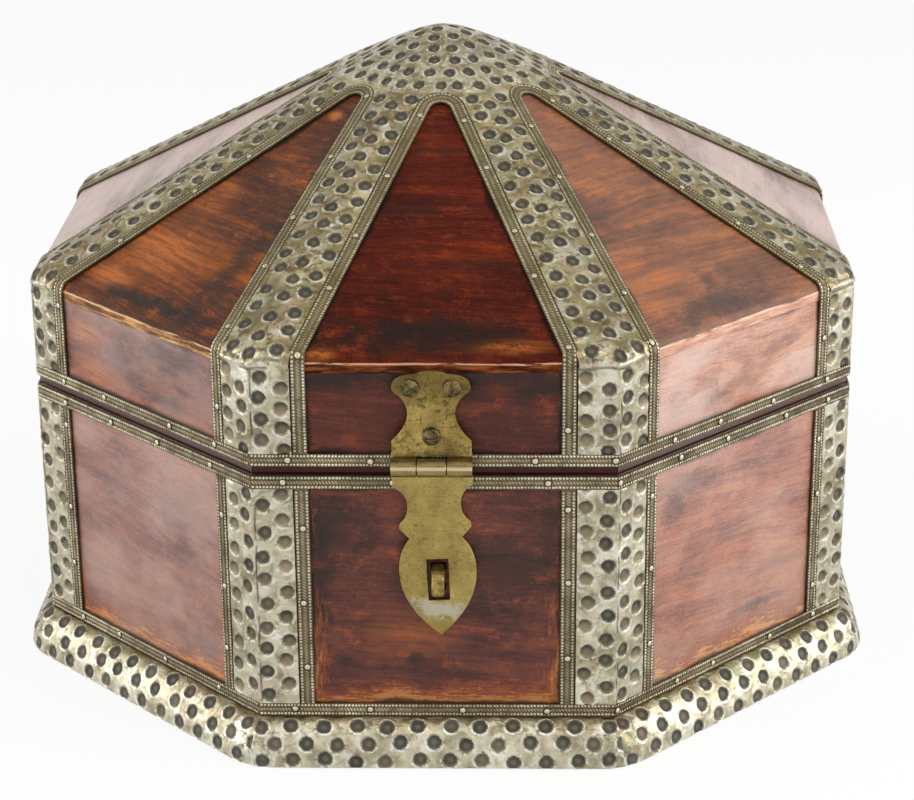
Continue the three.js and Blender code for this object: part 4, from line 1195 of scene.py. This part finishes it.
# Each face's palette. The faces turned towards the side lamps are lighter than the front, which is partly
# painted light, and their haze is a painted sheen.
looks = {
    "front": {
        "body": dict(dark="2c1a18", mid="5e3329", light="844634", stains=0.55, embers=0.45, shine=0.26,
                     wear={"side": (4.5, 0.85, gold), "low": (6.5, 0.9, gold),
                           "high": (2, 0.3, "7c4430")},
                     smears=((-30, 80, 12, 13, 0.8), (-37, 62, 4, 30, 0.8), (23, 68, 16, 14, 0.5),
                             (36, 80, 5, 16, 0.5), (-29.5, 34, 3, 2.5, 0.7), (-7, 35, 3, 2.5, 0.7)),
                     patches=((-7, 44, 14, 8, 0.4),)),
        "lid": dict(dark="2f1a17", mid="54281e", light="74382a", stains=0.4, embers=0.25, shine=0.22,
                    # The front lid's dark smears along its top, under the eave, are a painted shadow.
                    smears=((-33, 130, 11, 3.4, 0.95), (33, 128, 10, 5, 0.9), (0, 131, 14, 3, 0.9),
                            (-16, 131.5, 16, 2.2, 0.7), (18, 131.5, 16, 2.5, 0.8))),
        "roof": dict(dark="30120b", mid="521d10", light="783018", stains=0.3, embers=0.2, shine=0.04,
                     smears=((-4, -149.5, 36, 6, 1.0), (4, -144, 27, 5, 0.8), (-8, -94, 10, 5, 0.45),
                             (0, -67, 12, 2, 0.6), (12, -118, 20, 3, 0.5), (-37, -138, 6, 18, 0.6)),
                     patches=((24, -152, 14, 3, 1.0), (-36, -155, 7, 2.5, 1.0)),
                     band=("321710", "5c2a16", "8e4c26", "d8a684", 0.85)),
    },
    "front_left": {
        "body": dict(dark="5a3830", mid="8e5848", light="b07658", painted_sheen=(0.35, mauve), stains=0.25,
                     embers=0.35, shine=0.9, smears=((18, 72, 14, 18, 0.3), (30, 30, 8, 8, 0.3)),
                     wear={"side": (4, 0.7, orange), "low": (6, 0.95, "d8863a"),
                           "high": (2.5, 0.5, orange)}),
        "lid": dict(dark="4c2c24", mid="7e4838", light="a06248", painted_sheen=(0.3, mauve), stains=0.3, embers=0.5,
                    shine=0.8, smears=((15, 127, 25, 5, 0.6), (-8, 118, 14, 7, 0.5), (14, 109, 12, 5, 0.5)),
                    patches=((-22, 112, 16, 5, 0.9), (-28, 124, 10, 4, 0.9), (28, 106, 8, 3, 0.8)),
                    wear={"low": (4, 0.5, orange)}),
        "roof": dict(dark="2c140b", mid="562b13", light="955018", stains=0.5, embers=0.6, shine=0.12,
                     smears=((-12, -151, 10, 2.6, 1.0), (12, -151, 20, 3.4, 1.0), (20, -115, 6, 28, 0.7),
                             (12, -72, 7, 16, 0.6), (22, -142, 10, 7, 0.6), (-16, -114, 5, 5, 0.5)),
                     patches=((-14, -130, 22, 12, 0.9), (-1, -56, 3, 2.5, 1.0), (-26, -146, 11, 6, 0.9),
                              (-16, -105, 9, 12, 0.6)),
                     band=("5c3a2c", "946640", "d8a866", "e0b888", 0.4)),
    },
    "front_right": {
        "body": dict(dark="6a3e2e", mid="a4654c", light="c68456", painted_sheen=(0.3, mauve), stains=0.25,
                     embers=0.3, shine=1.0,
                     smears=((10, 31, 15, 2.2, 0.9), (-26, 86, 16, 4, 0.6), (-32, 79, 7, 5, 0.5),
                             (-2, 62, 6, 3, 0.4)),
                     wear={"side": (3.5, 0.7, orange), "low": (9, 0.9, "dc9a56"), "high": (2, 0.3, orange)}),
        "lid": dict(dark="8a5a48", mid="c08466", light="dca476", painted_sheen=(0.6, pale), stains=0.25,
                    embers=0.25, shine=1.0, smears=((-12, 112, 10, 3, 0.5), (-30, 115, 4, 10, 0.3)),
                    wear={"low": (5, 0.7, orange)}),
        "roof": dict(dark="4a2817", mid="7d4a2d", light="b06e38", stains=0.45, embers=0.4, shine=0.45,
                     smears=((-4, -150, 24, 6, 0.8), (0.5, -140, 3, 5, 0.6), (-20, -100, 8, 14, 0.35)),
                     patches=((-18, -134, 12, 3.5, 0.9), (-24, -126, 8, 3, 0.8), (-28, -145, 6, 4, 0.8)),
                     band=("b07c66", "cc967c", "e0b49c", "e8c8a4", 0.0)),
    },
}
plain_look = {
    "body": dict(dark="4c2c20", mid="804a34", light="a96a42", painted_sheen=(0.25, mauve), stains=0.4,
                 embers=0.4, shine=0.6, wear={"side": (4, 0.6, orange), "low": (7, 0.8, gold)}),
    "lid": dict(dark="4c2c20", mid="804a34", light="a96a42", painted_sheen=(0.3, mauve), stains=0.4,
                embers=0.4, shine=0.6, wear={"low": (3, 0.4, orange)}),
    "roof": dict(dark="42241a", mid="75432e", light="a4653c", painted_sheen=(0.25, mauve), stains=0.5,
                 embers=0.5, shine=0.8, smears=((0, -149, 30, 4, 0.7),),
                 band=("5a3826", "80522f", "a8743f", "d0a878", 0.6)),
}
# The side roofs' pale palette and pale band are painted glare, a painted reflection.
glare_painted_roof = dict(dark="765850", mid="a08478", light="c4a89a", painted_sheen=(0.55, "c8b0a8"), stains=0.3,
                embers=0.15, shine=1.0, band=("946e5c", "b08c78", "ccac98", "dcc4ac", 0.3))
looks["left"] = looks["right"] = {**plain_look, "roof": glare_painted_roof}

hammered_sheet = sheet_finish()
embossed_strip = strip_finish()
inner_wood = inner_wood_finish()
leaf_brass = brass_finish("leaf_brass", ("76663a", "978349", "a99556", "bba96c"), 0.04, worn=True)
plate_brass = brass_finish("plate_brass", ("544426", "897240", "ab9452", "c8b068"), 0.02)
hinge_brass = brass_finish("hinge_brass", ("57482c", "83703c", "9b884c", "ac9b66"), 0.0)
steel = steel_finish()

rows_tree = punched_tree(
    "punched_rows", rows_of_punches, Columns=4, Rows=10, Spread=6.0, Start=0.0, Pitch=7.0,
    End_spread=6.0,
)
rings_tree = punched_tree("punched_rings", rings_of_punches)
strips_tree = strip_tree()

# Boards

for number, face_name in enumerate(face_names):
    look = looks.get(face_name, plain_look)
    body = dict(edges=body_edges, rim=body_seam_shade, **look["body"])
    lid = dict(edges=lid_side_edges, rim=lid_seam_shade, **look["lid"])
    roof = dict(edges=roof_edges, **look["roof"])
    body_wood = wood_finish(f"wood_wall_{face_name}", number, False, **body)
    lid_wood = wood_finish(f"wood_side_{face_name}", number, False, **lid)
    roof_wood = wood_finish(f"wood_roof_{face_name}", number, True, **roof)
    eased(f"wall_board_{face_name}", body_wood, 0.25, "base")
    eased(f"lid_side_board_{face_name}", lid_wood, 0.1, "lid", glued_top=lid_side_top)
    eased(f"roof_board_{face_name}", roof_wood, 0, "lid")
eased("bottom_board", inner_wood, 0, "base")
moulding()

# Sheets and strips

for corner in range(1, face_count + 1):
    body_corner_strap(corner)
    lid_ridge_strap(corner)
crown()
plinth()
ring_strip("foot_strip", foot_strip_bottom, foot_strip_height, "base", "body_edge_strips", 1)
ring_strip("body_rim_strip", body_rim_strip_bottom, body_rim_strip_height, "base", "body_edge_strips", 2)
ring_strip("lid_rim_strip", lid_rim_strip_bottom, lid_rim_strip_height, "lid", "lid_edge_strips", 3)
body_upright_strips()
lid_panel_strips()

# Fittings

eased("hasp_plate", plate_brass, 0.18, "lid")
eased("hasp_leaf", leaf_brass, 0.18, "hasp")
eased("hasp_pin", steel, 0.12, "lid")
eased("staple", plate_brass, 0.95, "base", segments=4)
for place in ("upper_left", "upper_right", "lower"):
    eased(f"hasp_screw_{place}", steel, 0.08, "lid")
for side in ("right", "left"):
    eased(f"hinge_body_leaf_{side}", hinge_brass, 0.15, "base")
    eased(f"hinge_lid_leaf_{side}", hinge_brass, 0.15, "lid")
    eased(f"hinge_pin_{side}", steel, 0.1, "lid")

# Floor, light and camera


def seen(work):
    """1 for rays from the camera, straight or by way of a shiny or clear surface."""
    kinds = ("Camera", "Glossy", "Transmission")
    camera_ray, *others = (work.node("ShaderNodeLightPath", output=f"Is {kind} Ray") for kind in kinds)
    return work.maths("MAXIMUM", camera_ray, work.maths("MAXIMUM", *others))


def floor():
    half, glow_share = 3.0, 0.85
    points = np.array([(-half, -half, 0), (half, -half, 0), (half, half, 0), (-half, half, 0)])
    mesh = new_mesh("floor", points, [[0, 1, 2, 3]])
    f = Finish("floor_white")
    shader = f.node("ShaderNodeBsdfDiffuse", {}, {"Color": (0.95, 0.95, 0.95, 1)})
    glow = f.node("ShaderNodeEmission", {}, {"Color": (1, 1, 1, 1), "Strength": 1.0})
    mixed = f.node("ShaderNodeMixShader", {}, {0: seen(f) * glow_share, 1: shader, 2: glow})
    f.node("ShaderNodeOutputMaterial", {}, {"Surface": mixed})
    mesh.materials.append(f.material)
    ground = bpy.data.objects.new("floor", mesh)
    scene.collection.objects.link(ground)


def world():
    """Soft light all round, and white wherever the camera or a reflection sees past the box."""
    scene.world = bpy.data.worlds.new("studio")
    scene.world.use_nodes = True
    w = Work(scene.world.node_tree)
    w.tree.nodes.clear()
    strength = seen(w) * 0.5 + 0.5
    glow = w.node("ShaderNodeBackground", {}, {"Color": (1, 1, 1, 1), "Strength": strength})
    w.node("ShaderNodeOutputWorld", {}, {"Surface": glow})


def softbox(name, place, size, radiance):
    """A square lamp that faces the box."""
    lamp = bpy.data.lights.new(name, "AREA")
    lamp.shape = "SQUARE"
    lamp.size = size
    lamp.energy = radiance * math.pi * size * size
    body = bpy.data.objects.new(name, lamp)
    aim = Vector((0, 0, 0.1)) - Vector(place)
    body.matrix_world = Matrix.Translation(place) @ aim.to_track_quat("-Z", "Y").to_matrix().to_4x4()
    scene.collection.objects.link(body)


floor()
world()
softbox("right_softbox", (1.15, -0.3, 0.6), 1.3, 2.5)
softbox("left_softbox", (-1.15, -0.3, 0.55), 1.2, 1.9)
softbox("top_softbox", (0.1, -0.5, 1.5), 1.0, 1.2)

eye = (0.02598, -0.8703, 0.4088)
yaw, pitch, roll = -0.0257, 0.3708, -0.0084
forward = Vector((math.sin(yaw) * math.cos(pitch), math.cos(yaw) * math.cos(pitch), -math.sin(pitch)))
level = Vector((math.cos(yaw), -math.sin(yaw), 0))
above = level.cross(forward)
right = math.cos(roll) * level + math.sin(roll) * above
up = -math.sin(roll) * level + math.cos(roll) * above
lens = bpy.data.cameras.new("camera")
lens.sensor_fit = "HORIZONTAL"
lens.sensor_width = 36
lens.lens = 100.8
camera = bpy.data.objects.new("camera", lens)
turn = Matrix((right, up, -forward)).transposed().to_4x4()
camera.matrix_world = Matrix.Translation(eye) @ turn
scene.collection.objects.link(camera)
scene.camera = camera

scene.view_settings.view_transform = "Standard"
